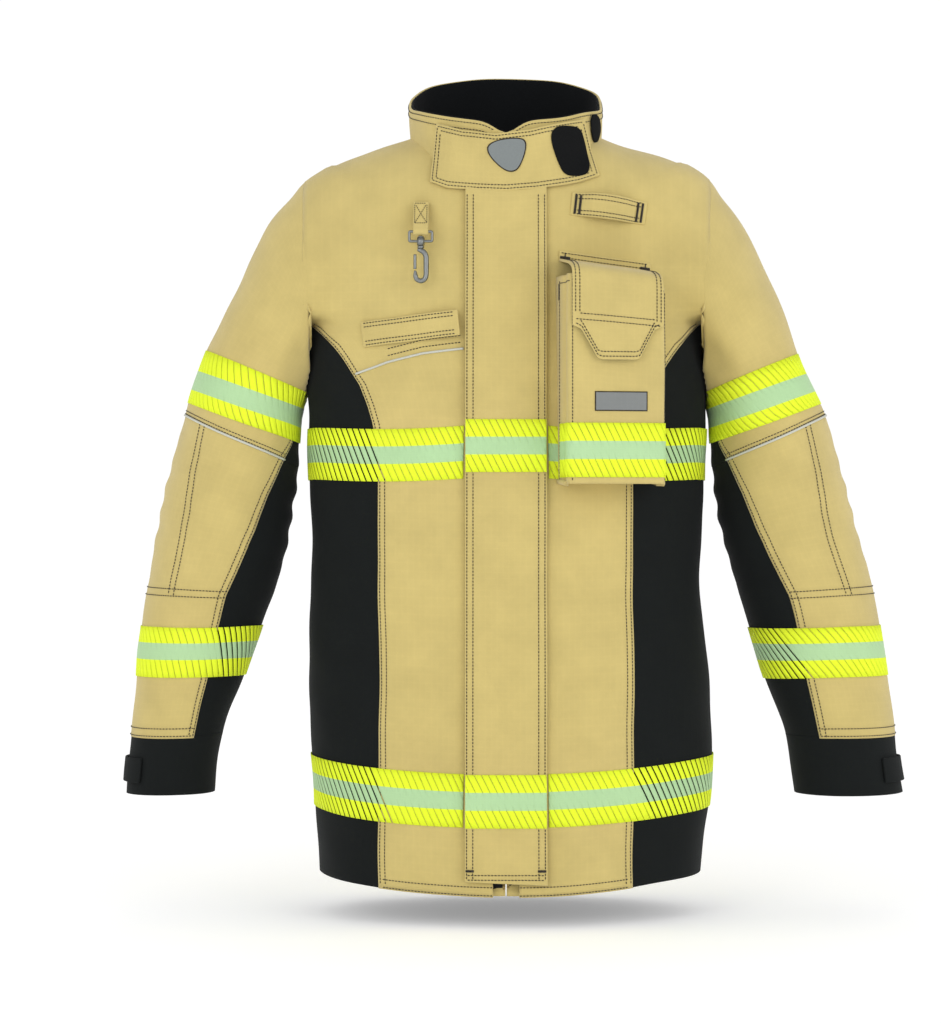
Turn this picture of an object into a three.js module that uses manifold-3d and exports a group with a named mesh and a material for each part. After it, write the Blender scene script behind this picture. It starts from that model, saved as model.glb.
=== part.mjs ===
// A firefighter's turnout coat, filled out as if worn: outer shell panels, liner, collar, throat strap,
// zip under a storm flap, radio pocket, sleeves that lift at the shoulder and bend at the elbow.
// Millimetres, +Z up, the wearer faces -Y, and the wearer's right is -X.
// The origin is in the middle of the neck opening, level with the tops of the shoulders.
import * as THREE from "three";
import { mergeVertices } from "three/addons/utils/BufferGeometryUtils.js";
import Module from "manifold-3d";

const wasm = await Module();
wasm.setup();

// ---- Driving dimensions ----
const HEM_Z = -813; // front hem, below the neck
const SHELL = 3; // outer shell cloth with its facing
const LINER = 2.5; // quilted thermal liner
const SEAM_GAP = 0.5; // between two panels that are sewn edge to edge
const FRONT_TOP = { y: -104, z: -50 }; // the zip line's upper end, on the panels' inner face
const FRONT_LEAN = 0.048; // the zip line comes forward this much for each millimetre down
const PANEL_N = 2.3; // squareness of the torso's plan
const TORSO_STEPS = 28; // facets round the torso
const SLEEVE_STEPS = 14; // facets round a sleeve
const FLAP_HALF = 43.5; // half the storm flap's width
const FLAP_LIFT = 6; // storm flap's inner face above the panels' inner face
const FLAP_THICK = 3.5;
const SIDE_SEAM_X = 137; // where the stretch side panels start on the front
const ARMPIT_Z = -190;
const TRIM_HIGH = 58; // height of the reflective trim
const TRIM_THICK = 1;
const TRIM_GAP = 0.5; // between a surface and what is sewn on it
const CHEST_TRIM_Z = -328;
const HEM_TRIM_Z = -702;
const ZIP_BOTTOM_Z = -800;

// Torso plan at each level: half width, depth behind the neck. The front depth follows the zip line.
const TORSO = [
  { z: -813, a: 211, back: 126 },
  { z: -720, a: 220, back: 124 },
  { z: -600, a: 224, back: 119 },
  { z: -440, a: 215, back: 115 },
  { z: -320, a: 220, back: 123 },
  { z: -190, a: 222, back: 130 },
  { z: -90, a: 221, back: 124 },
  { z: -50, a: 219, back: 119 },
  { z: -25, a: 214, back: 112, front: 94 },
  { z: -5, a: 188, back: 102, front: 82 },
  { z: 12, a: 144, back: 88, front: 68 },
  { z: 28, a: 100, back: 75, front: 55 },
];
const frontDepth = (s) => s.front ?? -FRONT_TOP.y + (FRONT_TOP.z - s.z) * FRONT_LEAN;

// Right sleeve: centreline, half width seen from the front, half depth. The left sleeve mirrors it.
const SLEEVE = [
  { x: -156, y: 4, z: -46, w: 66, d: 74 },
  { x: -194, y: 4, z: -100, w: 71, d: 78 },
  { x: -237, y: 4, z: -172, w: 68, d: 79 },
  { x: -284, y: 5, z: -256, w: 59, d: 77 },
  { x: -303, y: 6, z: -345, w: 70, d: 75 },
  { x: -318, y: 5, z: -430, w: 73, d: 73 },
  { x: -344, y: -4, z: -535, w: 64, d: 66 },
  { x: -365, y: -17, z: -620, w: 54, d: 58 },
  { x: -374, y: -28, z: -706, w: 52, d: 55 },
];
const SHOULDER_CUT = { x: -303, z: -140, ux: -0.5, uz: -0.866 }; // where the shoulder folds, and its pivot
const ELBOW_CUT = { x: -315, z: -412, ux: -0.18, uz: -0.984 }; // plane where the elbow folds
const CUFF_Z = -640; // top of the cuff

// Collar plan at its lower and upper edge, about a middle that is set forward of the origin.
const COLLAR = {
  midY: -9,
  lowA: 98,
  lowB: 93,
  highA: 105,
  highB: 97,
  n: 2.3,
  steps: 24,
  thick: 2.6,
  lining: 2,
};
const COLLAR_EDGE = { lowZ: -11, highZ: 66, tilt: 0.43 }; // each edge's height is its z plus tilt times y

// ---- Colours ----
const finish = (color, roughness = 0.9, metalness = 0) => ({ color, roughness, metalness });
const TAN = finish(0xcbb37b);
const BLACK = finish(0x1d1f20, 0.85);
const LINING = finish(0x14161a, 0.8);
const LIME = finish(0xd8f21c, 0.55);
const SILVER = finish(0xb9c4bd, 0.35, 0.3);
const STEEL = finish(0x8d979b, 0.3, 1);
const BRASS = finish(0xa98b4e, 0.4, 1);
const HOOK_LOOP = finish(0x101213, 1);
const KNIT = finish(0x3a3c3e, 0.95);

// ---- Solids ----
function toSolid(geometry) {
  const flat = geometry.index ? geometry.toNonIndexed() : geometry.clone();
  flat.deleteAttribute("normal");
  flat.deleteAttribute("uv");
  const merged = mergeVertices(flat, 1e-3);
  return new wasm.Manifold(
    new wasm.Mesh({
      numProp: 3,
      vertProperties: merged.attributes.position.array,
      triVerts: new Uint32Array(merged.index.array),
    }),
  );
}

function toGeometry(solid) {
  const mesh = solid.getMesh();
  const at = new Float32Array(mesh.numVert * 3);
  for (let i = 0; i < mesh.numVert; i++) {
    at.set(mesh.vertProperties.subarray(i * mesh.numProp, i * mesh.numProp + 3), i * 3);
  }
  return new THREE.BufferGeometry()
    .setAttribute("position", new THREE.BufferAttribute(at, 3))
    .setIndex(new THREE.BufferAttribute(mesh.triVerts, 1));
}

// The largest body of a solid, so that a cut's slivers are dropped.
function largest(solid) {
  const bodies = solid.decompose();
  return bodies.sort((p, q) => q.volume() - p.volume())[0];
}

function closedGeometry(points, faces) {
  const at = new Float32Array(points.flatMap((p) => [p.x, p.y, p.z]));
  return new THREE.BufferGeometry()
    .setAttribute("position", new THREE.BufferAttribute(at, 3))
    .setIndex(faces.flat());
}

// A grid of points, rows by columns. A wrapped grid joins its last column to its first.
function gridNormals(grid, wrapped) {
  const rows = grid.length;
  const cols = grid[0].length;
  const pick = (i, j) => {
    const col = wrapped ? (j + cols) % cols : Math.min(Math.max(j, 0), cols - 1);
    return grid[Math.min(Math.max(i, 0), rows - 1)][col];
  };
  return grid.map((row, i) =>
    row.map((_, j) => {
      const along = pick(i, j + 1).clone().sub(pick(i, j - 1));
      const up = pick(i + 1, j).clone().sub(pick(i - 1, j));
      return along.cross(up).normalize();
    }),
  );
}

// The solid between two offsets of a grid, along the grid's own normals.
function shell(grid, low, high, wrapped = false) {
  const normals = gridNormals(grid, wrapped);
  const rows = grid.length;
  const cols = grid[0].length;
  const points = [];
  for (const lift of [low, high]) {
    grid.forEach((row, i) => {
      row.forEach((p, j) => points.push(p.clone().addScaledVector(normals[i][j], lift)));
    });
  }
  const id = (layer, i, j) => (layer * rows + i) * cols + (j % cols);
  const faces = [];
  const quad = (a, b, c, d) => faces.push([a, b, c], [a, c, d]);
  const spans = wrapped ? cols : cols - 1;
  for (let i = 0; i < rows - 1; i++) {
    for (let j = 0; j < spans; j++) {
      quad(id(1, i, j), id(1, i, j + 1), id(1, i + 1, j + 1), id(1, i + 1, j));
      quad(id(0, i, j), id(0, i + 1, j), id(0, i + 1, j + 1), id(0, i, j + 1));
    }
  }
  for (let j = 0; j < spans; j++) {
    quad(id(0, 0, j), id(0, 0, j + 1), id(1, 0, j + 1), id(1, 0, j));
    quad(id(1, rows - 1, j), id(1, rows - 1, j + 1), id(0, rows - 1, j + 1), id(0, rows - 1, j));
  }
  if (!wrapped) {
    for (let i = 0; i < rows - 1; i++) {
      quad(id(0, i + 1, 0), id(0, i, 0), id(1, i, 0), id(1, i + 1, 0));
      quad(id(0, i, cols - 1), id(0, i + 1, cols - 1), id(1, i + 1, cols - 1), id(1, i, cols - 1));
    }
  }
  return toSolid(closedGeometry(points, faces));
}

// The whole volume inside a wrapped grid's offset, with flat ends.
function filled(grid, lift) {
  const normals = gridNormals(grid, true);
  const cols = grid[0].length;
  const points = grid.flatMap((row, i) => row.map((p, j) => p.clone().addScaledVector(normals[i][j], lift)));
  const middle = (row) => row.reduce((sum, p) => sum.add(p), new THREE.Vector3()).divideScalar(cols);
  const bottom = points.push(middle(points.slice(0, cols))) - 1;
  const top = points.push(middle(points.slice(bottom - cols, bottom))) - 1;
  const faces = [];
  const last = (grid.length - 1) * cols;
  for (let j = 0; j < cols; j++) {
    const next = (j + 1) % cols;
    for (let i = 0; i < grid.length - 1; i++) {
      const [a, b] = [i * cols + j, i * cols + next];
      faces.push([a, b, b + cols], [a, b + cols, a + cols]);
    }
    faces.push([bottom, next, j], [top, last + j, last + next]);
  }
  return toSolid(closedGeometry(points, faces));
}

// A prism with an outline seen from the front (x, z), from the nearer y to the farther y.
function prism(outline, near = -400, far = 400) {
  const shape = new THREE.Shape(outline.map(([x, z]) => new THREE.Vector2(x, z)));
  const geometry = new THREE.ExtrudeGeometry(shape, { depth: far - near, bevelEnabled: false });
  geometry.rotateX(Math.PI / 2); // z of the outline goes up, and the depth runs towards -y
  geometry.translate(0, far, 0);
  return toSolid(geometry);
}

function box(x0, x1, y0, y1, z0, z1) {
  const geometry = new THREE.BoxGeometry(x1 - x0, y1 - y0, z1 - z0);
  geometry.translate((x0 + x1) / 2, (y0 + y1) / 2, (z0 + z1) / 2);
  return toSolid(geometry);
}

const slab = (z0, z1) => box(-600, 600, -400, 400, z0, z1);

// Everything on the far side of a plane that stands across a sleeve.
function beyond(cut, gap = 0) {
  const size = 900;
  const geometry = new THREE.BoxGeometry(size, size, size);
  geometry.translate(0, 0, -size / 2 - gap);
  geometry.rotateY(Math.atan2(-cut.ux, -cut.uz));
  geometry.translate(cut.x, 0, cut.z);
  return toSolid(geometry);
}

// ---- Base surfaces ----
const power = (value, n) => Math.sign(value) * Math.pow(Math.abs(value), 2 / n);
const turn = (j, steps) => (2 * Math.PI * j) / steps;

const torsoGrid = TORSO.map((s) =>
  Array.from({ length: TORSO_STEPS }, (_, j) => {
    const t = turn(j, TORSO_STEPS);
    const depth = Math.sin(t) > 0 ? s.back : frontDepth(s);
    return new THREE.Vector3(s.a * power(Math.cos(t), PANEL_N), depth * power(Math.sin(t), PANEL_N), s.z);
  }),
);

function collarPlan(share) {
  const a = THREE.MathUtils.lerp(COLLAR.lowA, COLLAR.highA, share);
  const b = THREE.MathUtils.lerp(COLLAR.lowB, COLLAR.highB, share);
  return Array.from({ length: COLLAR.steps }, (_, j) => {
    const t = turn(j, COLLAR.steps);
    return [a * power(Math.cos(t), COLLAR.n), COLLAR.midY + b * power(Math.sin(t), COLLAR.n)];
  });
}
const collarGrid = [0, 0.5, 1].map((share) =>
  collarPlan(share).map(([x, y]) => {
    const edge = THREE.MathUtils.lerp(COLLAR_EDGE.lowZ, COLLAR_EDGE.highZ, share);
    return new THREE.Vector3(x, y, edge + COLLAR_EDGE.tilt * y);
  }),
);

// side is -1 for the wearer's right and 1 for the left.
function sleeveGrid(side) {
  const rows = SLEEVE.map((s, i) => {
    const before = SLEEVE[Math.max(i - 1, 0)];
    const after = SLEEVE[Math.min(i + 1, SLEEVE.length - 1)];
    const length = Math.hypot(after.x - before.x, after.z - before.z);
    const [tx, tz] = [(after.x - before.x) / length, (after.z - before.z) / length];
    return Array.from({ length: SLEEVE_STEPS }, (_, j) => {
      const t = turn(j, SLEEVE_STEPS);
      const across = s.w * Math.cos(t);
      return new THREE.Vector3(s.x - tz * across, s.y + s.d * Math.sin(t), s.z + tx * across);
    });
  }).reverse();
  return side < 0 ? rows : rows.map((row) => mirrorRow(row));
}
function mirrorRow(row) {
  const flipped = row.map((p) => new THREE.Vector3(-p.x, p.y, p.z));
  return [flipped[0], ...flipped.slice(1).reverse()];
}

const torsoShell = (low, high) => shell(torsoGrid, low, high, true);
const collarShell = (low, high) => shell(collarGrid, low, high, true);
const chest = (lift) => filled(torsoGrid, lift);

// ---- Assembly ----
const coat = new THREE.Group();
function add(name, solid, look) {
  const mesh = new THREE.Mesh(toGeometry(largest(solid)), new THREE.MeshStandardMaterial(look));
  mesh.name = name;
  coat.add(mesh);
}
const sideName = (side) => (side < 0 ? "right" : "left");
const mirrored = (outline, side) => outline.map(([x, z]) => [side < 0 ? x : -x, z]);

// Hole that the collar stands in.
const neckHole = (() => {
  const outline = collarPlan(0.5).map(
    ([x, y]) => new THREE.Vector2(x * 1.045, (y - COLLAR.midY) * 1.05 + COLLAR.midY),
  );
  const geometry = new THREE.ExtrudeGeometry(new THREE.Shape(outline), { depth: 160, bevelEnabled: false });
  geometry.translate(0, 0, -62);
  return toSolid(geometry);
})();

// Torso panels, cut from one shell along their seams, as seen from the front.
const hemLift = 18; // the hem is this much higher at the sides than at the front
const hemLine = (x) => HEM_Z + hemLift * Math.min(1, (x / 200) ** 2);
const armhole = (side) => filled(sleeveGrid(side), 0.4).intersect(slab(ARMPIT_Z, 100));
const torso = torsoShell(0, SHELL)
  .subtract(neckHole)
  .subtract(armhole(-1))
  .subtract(armhole(1))
  .subtract(prism([[-300, -900], [300, -900], [300, hemLine(200)], [200, hemLine(200)], [100, hemLine(100)],
    [0, HEM_Z], [-100, hemLine(100)], [-200, hemLine(200)], [-300, hemLine(200)]]));

const FRONT_EDGE_X = 14; // each front's edge beside the zip, under the storm flap
const frontOutline = [
  [-FRONT_EDGE_X, -900],
  [-FRONT_EDGE_X, 80],
  [-260, 80],
  [-260, ARMPIT_Z + 20],
  [-214, ARMPIT_Z + 8],
  [-189, -221],
  [-161, -258],
  [-146, -298],
  [-SIDE_SEAM_X, -345],
  [-SIDE_SEAM_X, -900],
];
const sideOutline = [
  [-SIDE_SEAM_X - SEAM_GAP, -900],
  [-SIDE_SEAM_X - SEAM_GAP, -346],
  [-146.6, -298.5],
  [-161.6, -258.5],
  [-189.5, -221.5],
  [-214.5, ARMPIT_Z + 7],
  [-260, ARMPIT_Z + 19],
  [-260, -900],
];
const rearHalf = box(-400, 400, SEAM_GAP, 400, -900, 100);
const frontHalf = box(-400, 400, -400, -SEAM_GAP, -900, 100);
for (const side of [-1, 1]) {
  const front = torso.intersect(prism(mirrored(frontOutline, side))).intersect(frontHalf);
  add(`front_panel_${sideName(side)}`, front, TAN);
  add(`side_panel_${sideName(side)}`, torso.intersect(prism(mirrored(sideOutline, side))), BLACK);
}
const backOutline = sideOutline.map(([x, z]) => [x > -250 ? x + 1 : x, z + 0.6]);
const sideRegions = [-1, 1].map((side) => prism(mirrored(backOutline, side)));
add("back_panel", torso.intersect(rearHalf).subtract(sideRegions[0]).subtract(sideRegions[1]), TAN);

// Quilted liner inside the shell, open down the front for the zip.
const LINER_LIFT = -8;
const liner = torsoShell(LINER_LIFT, LINER_LIFT + LINER)
  .subtract(neckHole)
  .subtract(armhole(-1))
  .subtract(armhole(1))
  .subtract(box(-30, 30, -400, 0, -900, 100))
  .intersect(slab(HEM_Z + 45, 16));
add("thermal_liner", liner, LINING);

// Zip: two tapes, the chain between them, the slider and its pull.
const TAPE = { out: 25, in: 3.6, low: -4.6, high: -3.6 };
const TEETH = { out: 3.2, in: 0.9, low: -5.6, high: -2.6 };
const zipRun = slab(ZIP_BOTTOM_Z, FRONT_TOP.z - 8);
for (const side of [-1, 1]) {
  const strip = side < 0 ? [-TAPE.out, -TAPE.in] : [TAPE.in, TAPE.out];
  const tapeBand = torsoShell(TAPE.low, TAPE.high).intersect(zipRun);
  const tape = tapeBand.intersect(box(...strip, -400, 0, -900, 100));
  add(`zip_tape_${sideName(side)}`, tape, BLACK);
  const row = side < 0 ? [-TEETH.out, -TEETH.in] : [TEETH.in, TEETH.out];
  const teethBand = torsoShell(TEETH.low, TEETH.high).intersect(zipRun);
  const teeth = teethBand.intersect(box(...row, -400, 0, -900, 100));
  add(`zip_teeth_${sideName(side)}`, teeth, BRASS);
}

const frontY = (z) => FRONT_TOP.y - (FRONT_TOP.z - z) * FRONT_LEAN;
function onZipLine(geometry, z, out) {
  geometry.rotateX(Math.atan(FRONT_LEAN));
  geometry.translate(0, frontY(z) - out, z);
  return toSolid(geometry);
}
const SLIDER_Z = FRONT_TOP.z - 24;
const sliderPlate = (out) => onZipLine(new THREE.BoxGeometry(13, 1.6, 22), SLIDER_Z, out);
const webGeometry = new THREE.BoxGeometry(1, 8.2, 14); // runs between the rows of teeth
const sliderWeb = onZipLine(webGeometry, SLIDER_Z + 3, -4.1);
add("zip_slider", sliderPlate(-0.2).add(sliderPlate(-8)).add(sliderWeb), BRASS);
const pullShape = new THREE.Shape();
pullShape.absarc(0, 8, 4.5, 0, Math.PI);
pullShape.lineTo(-4.5, -20);
pullShape.lineTo(4.5, -20);
pullShape.closePath();
const pullPlate = { depth: 1.6, bevelEnabled: false, curveSegments: 8 };
const pullGeometry = new THREE.ExtrudeGeometry(pullShape, pullPlate);
pullGeometry.rotateX(Math.PI / 2);
add("zip_pull", onZipLine(pullGeometry, SLIDER_Z - 2, 1), BRASS);

// Storm flap over the zip, sewn down its right edge, with the hook tape that closes it.
const FLAP_BOTTOM_Z = -791;
const FLAP_TOP_Z = -52;
const flapBand = (lowX, highX, low, high, z0, z1) =>
  torsoShell(low, high).intersect(box(lowX, highX, -400, 0, -900, 100)).intersect(slab(z0, z1));
const flapOut = FLAP_LIFT + FLAP_THICK;
add("storm_flap", flapBand(-FLAP_HALF, FLAP_HALF, FLAP_LIFT, flapOut, FLAP_BOTTOM_Z, FLAP_TOP_Z), TAN);
add("flap_hook_tape", flapBand(22, 40, 4.6, 5.7, -770, -75), HOOK_LOOP);
add("front_loop_tape", flapBand(20, 42, 3.3, 4.2, -772, -73), HOOK_LOOP);

// Reflective trim: round the torso from one side of the flap to the other, and across the flap.
const above = (surface) => ({ low: surface + TRIM_GAP, high: surface + TRIM_GAP + TRIM_THICK });
const PANEL_TRIM = above(SHELL);
const FLAP_TRIM = above(FLAP_LIFT + FLAP_THICK);
const trimSlab = (z) => slab(z - TRIM_HIGH / 2, z + TRIM_HIGH / 2);
const POCKET_X = { low: 57, high: 170 };
for (const [name, z] of [["chest", CHEST_TRIM_Z], ["hem", HEM_TRIM_Z]]) {
  const gapEnd = name === "chest" ? POCKET_X.high + 4 : FLAP_HALF + 1.5;
  const opening = box(-FLAP_HALF - 1.5, gapEnd, -400, 0, -900, 100);
  const round = torsoShell(PANEL_TRIM.low, PANEL_TRIM.high).intersect(trimSlab(z)).subtract(opening);
  add(`${name}_trim`, round, LIME);
  add(
    `${name}_trim_flap`,
    flapBand(
      -FLAP_HALF + 0.5,
      FLAP_HALF - 0.5,
      FLAP_TRIM.low,
      FLAP_TRIM.high,
      z - TRIM_HIGH / 2,
      z + TRIM_HIGH / 2,
    ),
    LIME,
  );
}

// Collar: outer band and black lining, open at the throat, with a hanger loop inside the back of the neck.
const throatSlit = box(-1.5, 1.5, -400, 0, -200, 200);
const throatDip = prism([[-34, 90], [-20, 24], [-8, 15], [8, 15], [20, 24], [34, 90]], -400, -40);
const openCollar = (low, high) => collarShell(low, high).subtract(throatSlit).subtract(throatDip);
add("collar", openCollar(0, COLLAR.thick), TAN);
add("collar_lining", openCollar(-0.4 - COLLAR.lining, -0.4), LINING);
const LOOP = { z: 28, half: 32, drop: 11, y: COLLAR.midY + COLLAR.lowB - 6 };
const loopCurve = new THREE.CatmullRomCurve3([
  new THREE.Vector3(-LOOP.half, LOOP.y - 2.8, LOOP.z),
  new THREE.Vector3(-LOOP.half + 9, LOOP.y - 8, LOOP.z - 4),
  new THREE.Vector3(0, LOOP.y - 12, LOOP.z - LOOP.drop),
  new THREE.Vector3(LOOP.half - 9, LOOP.y - 8, LOOP.z - 4),
  new THREE.Vector3(LOOP.half, LOOP.y - 2.8, LOOP.z),
]);
const loopSection = new THREE.Shape(
  [[-4, -1], [4, -1], [4, 1], [-4, 1]].map(([u, v]) => new THREE.Vector2(u, v)),
);
const loopTube = toSolid(new THREE.ExtrudeGeometry(loopSection, { steps: 14, extrudePath: loopCurve }));
add("hanger_loop", loopTube.subtract(collarShell(-3.2, 3)), BLACK);

// Throat strap across the collar, sewn at the wearer's right, with its loop patch and badge.
const strapOutline = [
  [-80, -33], [-58, -42], [-20, -46.5], [20, -46], [58, -37], [98, -18],
  [90, 41], [55, 27], [20, 16], [-15, 13], [-45, 18], [-76, 31],
];
const STRAP = { low: 7.5, thick: 3 };
const onCollar = (outline, low, high, off = 0.6) =>
  collarShell(low, high).intersect(prism(outline, -400, -9)).subtract(chest(SHELL + off));
add("throat_strap", onCollar(strapOutline, STRAP.low, STRAP.low + STRAP.thick), TAN);
const PATCH_LOW = STRAP.low + STRAP.thick + 0.3;
const ovalPatch = [
  [50, 14], [57, 26], [67, 28], [76, 22], [80, 2], [84, -15], [78, -22], [66, -22], [60, -12], [54, 0],
];
add("strap_loop_patch", onCollar(ovalPatch, PATCH_LOW, PATCH_LOW + 1.2), HOOK_LOOP);
const badge = [[-21, -3], [-5, 8], [0, 13], [23, 17], [20, -4], [11, -27], [3, -27], [-11, -18]];
add("strap_badge", onCollar(badge, PATCH_LOW, PATCH_LOW + 0.9), SILVER);
const collarPatch = [[86, 44], [98, 46], [102, 30], [97, 12], [90, 12]];
add("collar_loop_patch", onCollar(collarPatch, COLLAR.thick + 0.3, COLLAR.thick + 1.5), HOOK_LOOP);

// Radio pocket: a stiff bellows box on the left chest, open at the top, turned to follow the chest.
const POCKET = { wide: 108, high: 232, deep: 44, wall: 3, x: POCKET_X.low, z: -364, y: -124, yaw: 0.2 };
function pocketBox(x0, x1, y0, y1, z0, z1) {
  const geometry = new THREE.BoxGeometry(x1 - x0, y1 - y0, z1 - z0);
  geometry.translate((x0 + x1) / 2, (y0 + y1) / 2, (z0 + z1) / 2);
  geometry.rotateZ(POCKET.yaw);
  geometry.translate(POCKET.x, POCKET.y, POCKET.z);
  return toSolid(geometry);
}
const W = POCKET.wall;
const pocketOuter = pocketBox(0, POCKET.wide, -POCKET.deep, 60, 0, POCKET.high).subtract(chest(SHELL + 0.4));
const pocketRoom = pocketBox(W, POCKET.wide - W, -POCKET.deep + W, 60, W, POCKET.high + 20).subtract(
  chest(SHELL + 0.4 + W),
);
add("radio_pocket", pocketOuter.subtract(pocketRoom), TAN);
const trimLow = CHEST_TRIM_Z - TRIM_HIGH / 2 - POCKET.z;
const trimBlock = (grow) =>
  pocketBox(-grow, POCKET.wide + grow, -POCKET.deep - grow, 10, trimLow, trimLow + TRIM_HIGH);
add("pocket_trim", trimBlock(0.3 + TRIM_THICK).subtract(trimBlock(0.3)).subtract(chest(SHELL + 2)), LIME);
const face = -POCKET.deep - 0.3;
add("pocket_label", pocketBox(28, 86, face - 1, face, 78, 99), SILVER);

// Pocket flap: sewn to the chest above the pocket, over its mouth and down its face.
const FLAP_ROOM = 4; // clear of the pocket's top and face
const flapTop = POCKET.high + FLAP_ROOM;
const flapProfile = new THREE.Shape();
const faceOut = -POCKET.deep - FLAP_ROOM;
flapProfile.moveTo(40, flapTop + 11);
flapProfile.lineTo(-4, flapTop + 11);
flapProfile.lineTo(faceOut, flapTop + 3);
flapProfile.lineTo(faceOut - 3, flapTop - 3);
flapProfile.lineTo(faceOut - 3, flapTop - 110);
flapProfile.lineTo(faceOut, flapTop - 110);
flapProfile.lineTo(faceOut, flapTop - 4);
flapProfile.lineTo(faceOut + 2, flapTop);
flapProfile.lineTo(-4, flapTop + 8);
flapProfile.lineTo(40, flapTop + 8);
flapProfile.closePath();
function inPocketFrame(geometry) {
  geometry.rotateZ(POCKET.yaw);
  geometry.translate(POCKET.x, POCKET.y, POCKET.z);
  return toSolid(geometry);
}
const flapGeometry = new THREE.ExtrudeGeometry(flapProfile, { depth: 96, bevelEnabled: false });
flapGeometry.rotateY(Math.PI / 2);
flapGeometry.rotateX(Math.PI / 2); // profile's x becomes y, its y becomes z, the depth runs along x
flapGeometry.translate(7, 0, 0);
const flapFace = new THREE.Shape(
  [[0, 300], [0, flapTop - 68], [12, flapTop - 72], [30, flapTop - 104],
    [76, flapTop - 104], [94, flapTop - 72],
    [106, flapTop - 68], [106, 300]].map(([x, z]) => new THREE.Vector2(x, z)),
);
const faceGeometry = new THREE.ExtrudeGeometry(flapFace, { depth: 160, bevelEnabled: false });
faceGeometry.rotateX(Math.PI / 2);
faceGeometry.translate(0, 80, 0);
const flapBlank = inPocketFrame(flapGeometry).intersect(inPocketFrame(faceGeometry));
const pocketFlap = flapBlank.subtract(chest(SHELL + 2.5)); // room for its back edge as it lifts
add("pocket_flap", pocketFlap, TAN);

// Straps and webbing on the chest, as strips that stand off it between their sewn ends.
function torsoAt(x, z) {
  const i = Math.max(1, TORSO.findIndex((s) => s.z >= z));
  const [p, q] = [TORSO[i - 1], TORSO[i]];
  const share = (z - p.z) / (q.z - p.z);
  const a = THREE.MathUtils.lerp(p.a, q.a, share);
  const depth = THREE.MathUtils.lerp(frontDepth(p), frontDepth(q), share);
  return -depth * Math.pow(1 - Math.pow(Math.abs(x) / a, PANEL_N), 1 / PANEL_N);
}
// A strip from one end to the other, seen from the front, with a height off the chest along its length.
function strip(from, to, wide, lifts, thick) {
  const along = new THREE.Vector2(to[0] - from[0], to[1] - from[1]);
  const across = new THREE.Vector2(-along.y, along.x).normalize().multiplyScalar(wide / 2);
  const grid = [-1, 1].map((edge) =>
    lifts.map((lift, i) => {
      const share = i / (lifts.length - 1);
      const x = from[0] + along.x * share;
      const z = from[1] + along.y * share;
      return new THREE.Vector3(x + across.x * edge, torsoAt(x, z) - SHELL - lift, z + across.y * edge);
    }),
  );
  return shell(grid, 0, thick);
}
add("torch_strap", strip([-156, -201], [-50, -190], 28, [3, 3.4, 4, 5, 6.5, 8.5, 10], 2.6), TAN);
add("mic_tab", strip([70, -60], [151, -69], 27, [2, 2.5, 9, 12.5, 12.5, 9, 2.5, 2], 2.4), TAN);
const pipingOutline = [
  [-165, -245], [-128, -233], [-90, -224], [-45.5, -219],
  [-45.5, -214], [-90, -219], [-128, -228], [-163, -240],
];
const pipingRegion = prism(pipingOutline, -400, 0);
add("chest_piping", torsoShell(SHELL + 0.3, SHELL + 2.2).intersect(pipingRegion), SILVER);

// Snap hook on its webbing: the eye swings on the webbing, the hook swivels in the eye, the gate is sprung.
const HOOK = { x: -92, y: torsoAt(-92, -95) - SHELL - 17.6, z: -91.6 }; // middle of the eye's upper bar
const SWIVEL_Z = -10.4; // the eye's lower bar, below its upper bar
const hookPart = (geometry, x, y, z) => {
  geometry.translate(HOOK.x + x, HOOK.y + y, HOOK.z + z);
  return toSolid(geometry);
};
const rodX = (radius, length) => new THREE.CylinderGeometry(radius, radius, length, 10).rotateZ(Math.PI / 2);
const rodZ = (radius, length) => new THREE.CylinderGeometry(radius, radius, length, 12).rotateX(Math.PI / 2);
const webbingPoints = [
  [13.8, 32.6], [12.1, 20.6], [7, 8.6], [3.2, -0.8], [-0.8, -3.8],
  [-3, 0.6], [1.8, 10.6], [6, 21.6], [7.6, 32.6],
];
const webbingPath = new THREE.CatmullRomCurve3(
  webbingPoints.map(([y, z]) => new THREE.Vector3(HOOK.x, HOOK.y + y, HOOK.z + z)),
);
const webbingCorners = [[-9, -0.8], [9, -0.8], [9, 0.8], [-9, 0.8]];
const webbingSection = new THREE.Shape(webbingCorners.map(([u, v]) => new THREE.Vector2(u, v)));
const webbing = toSolid(new THREE.ExtrudeGeometry(webbingSection, { steps: 18, extrudePath: webbingPath }));
const sewnEnd = hookPart(new THREE.BoxGeometry(18, 10, 16), 0, 12.2, 27);
add("hook_webbing", webbing.add(sewnEnd).subtract(chest(SHELL + 0.4)), TAN);
const swivelBore = hookPart(rodZ(2.6, 20), 0, 0, SWIVEL_Z);
const eyeFrame = hookPart(rodX(1.5, 27), 0, 0, 0)
  .add(hookPart(rodX(1.5, 27), 0, 0, SWIVEL_Z))
  .add(hookPart(rodZ(1.5, -SWIVEL_Z), -12, 0, SWIVEL_Z / 2))
  .add(hookPart(rodZ(1.5, -SWIVEL_Z), 12, 0, SWIVEL_Z / 2))
  .add(hookPart(rodZ(4.6, 5), 0, 0, SWIVEL_Z - 2.5))
  .subtract(swivelBore);
add("snap_eye", eyeFrame, STEEL);
const HOOK_TOP = SWIVEL_Z - 8; // under the eye's barrel
const hookOutline = new THREE.Shape();
hookOutline.moveTo(-6, HOOK_TOP);
hookOutline.lineTo(6, HOOK_TOP);
hookOutline.lineTo(8.5, HOOK_TOP - 7);
hookOutline.lineTo(8.5, HOOK_TOP - 29);
hookOutline.absarc(0, HOOK_TOP - 29, 8.5, 0, -Math.PI, true);
hookOutline.lineTo(-8.5, HOOK_TOP - 23);
hookOutline.lineTo(-5, HOOK_TOP - 23);
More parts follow.
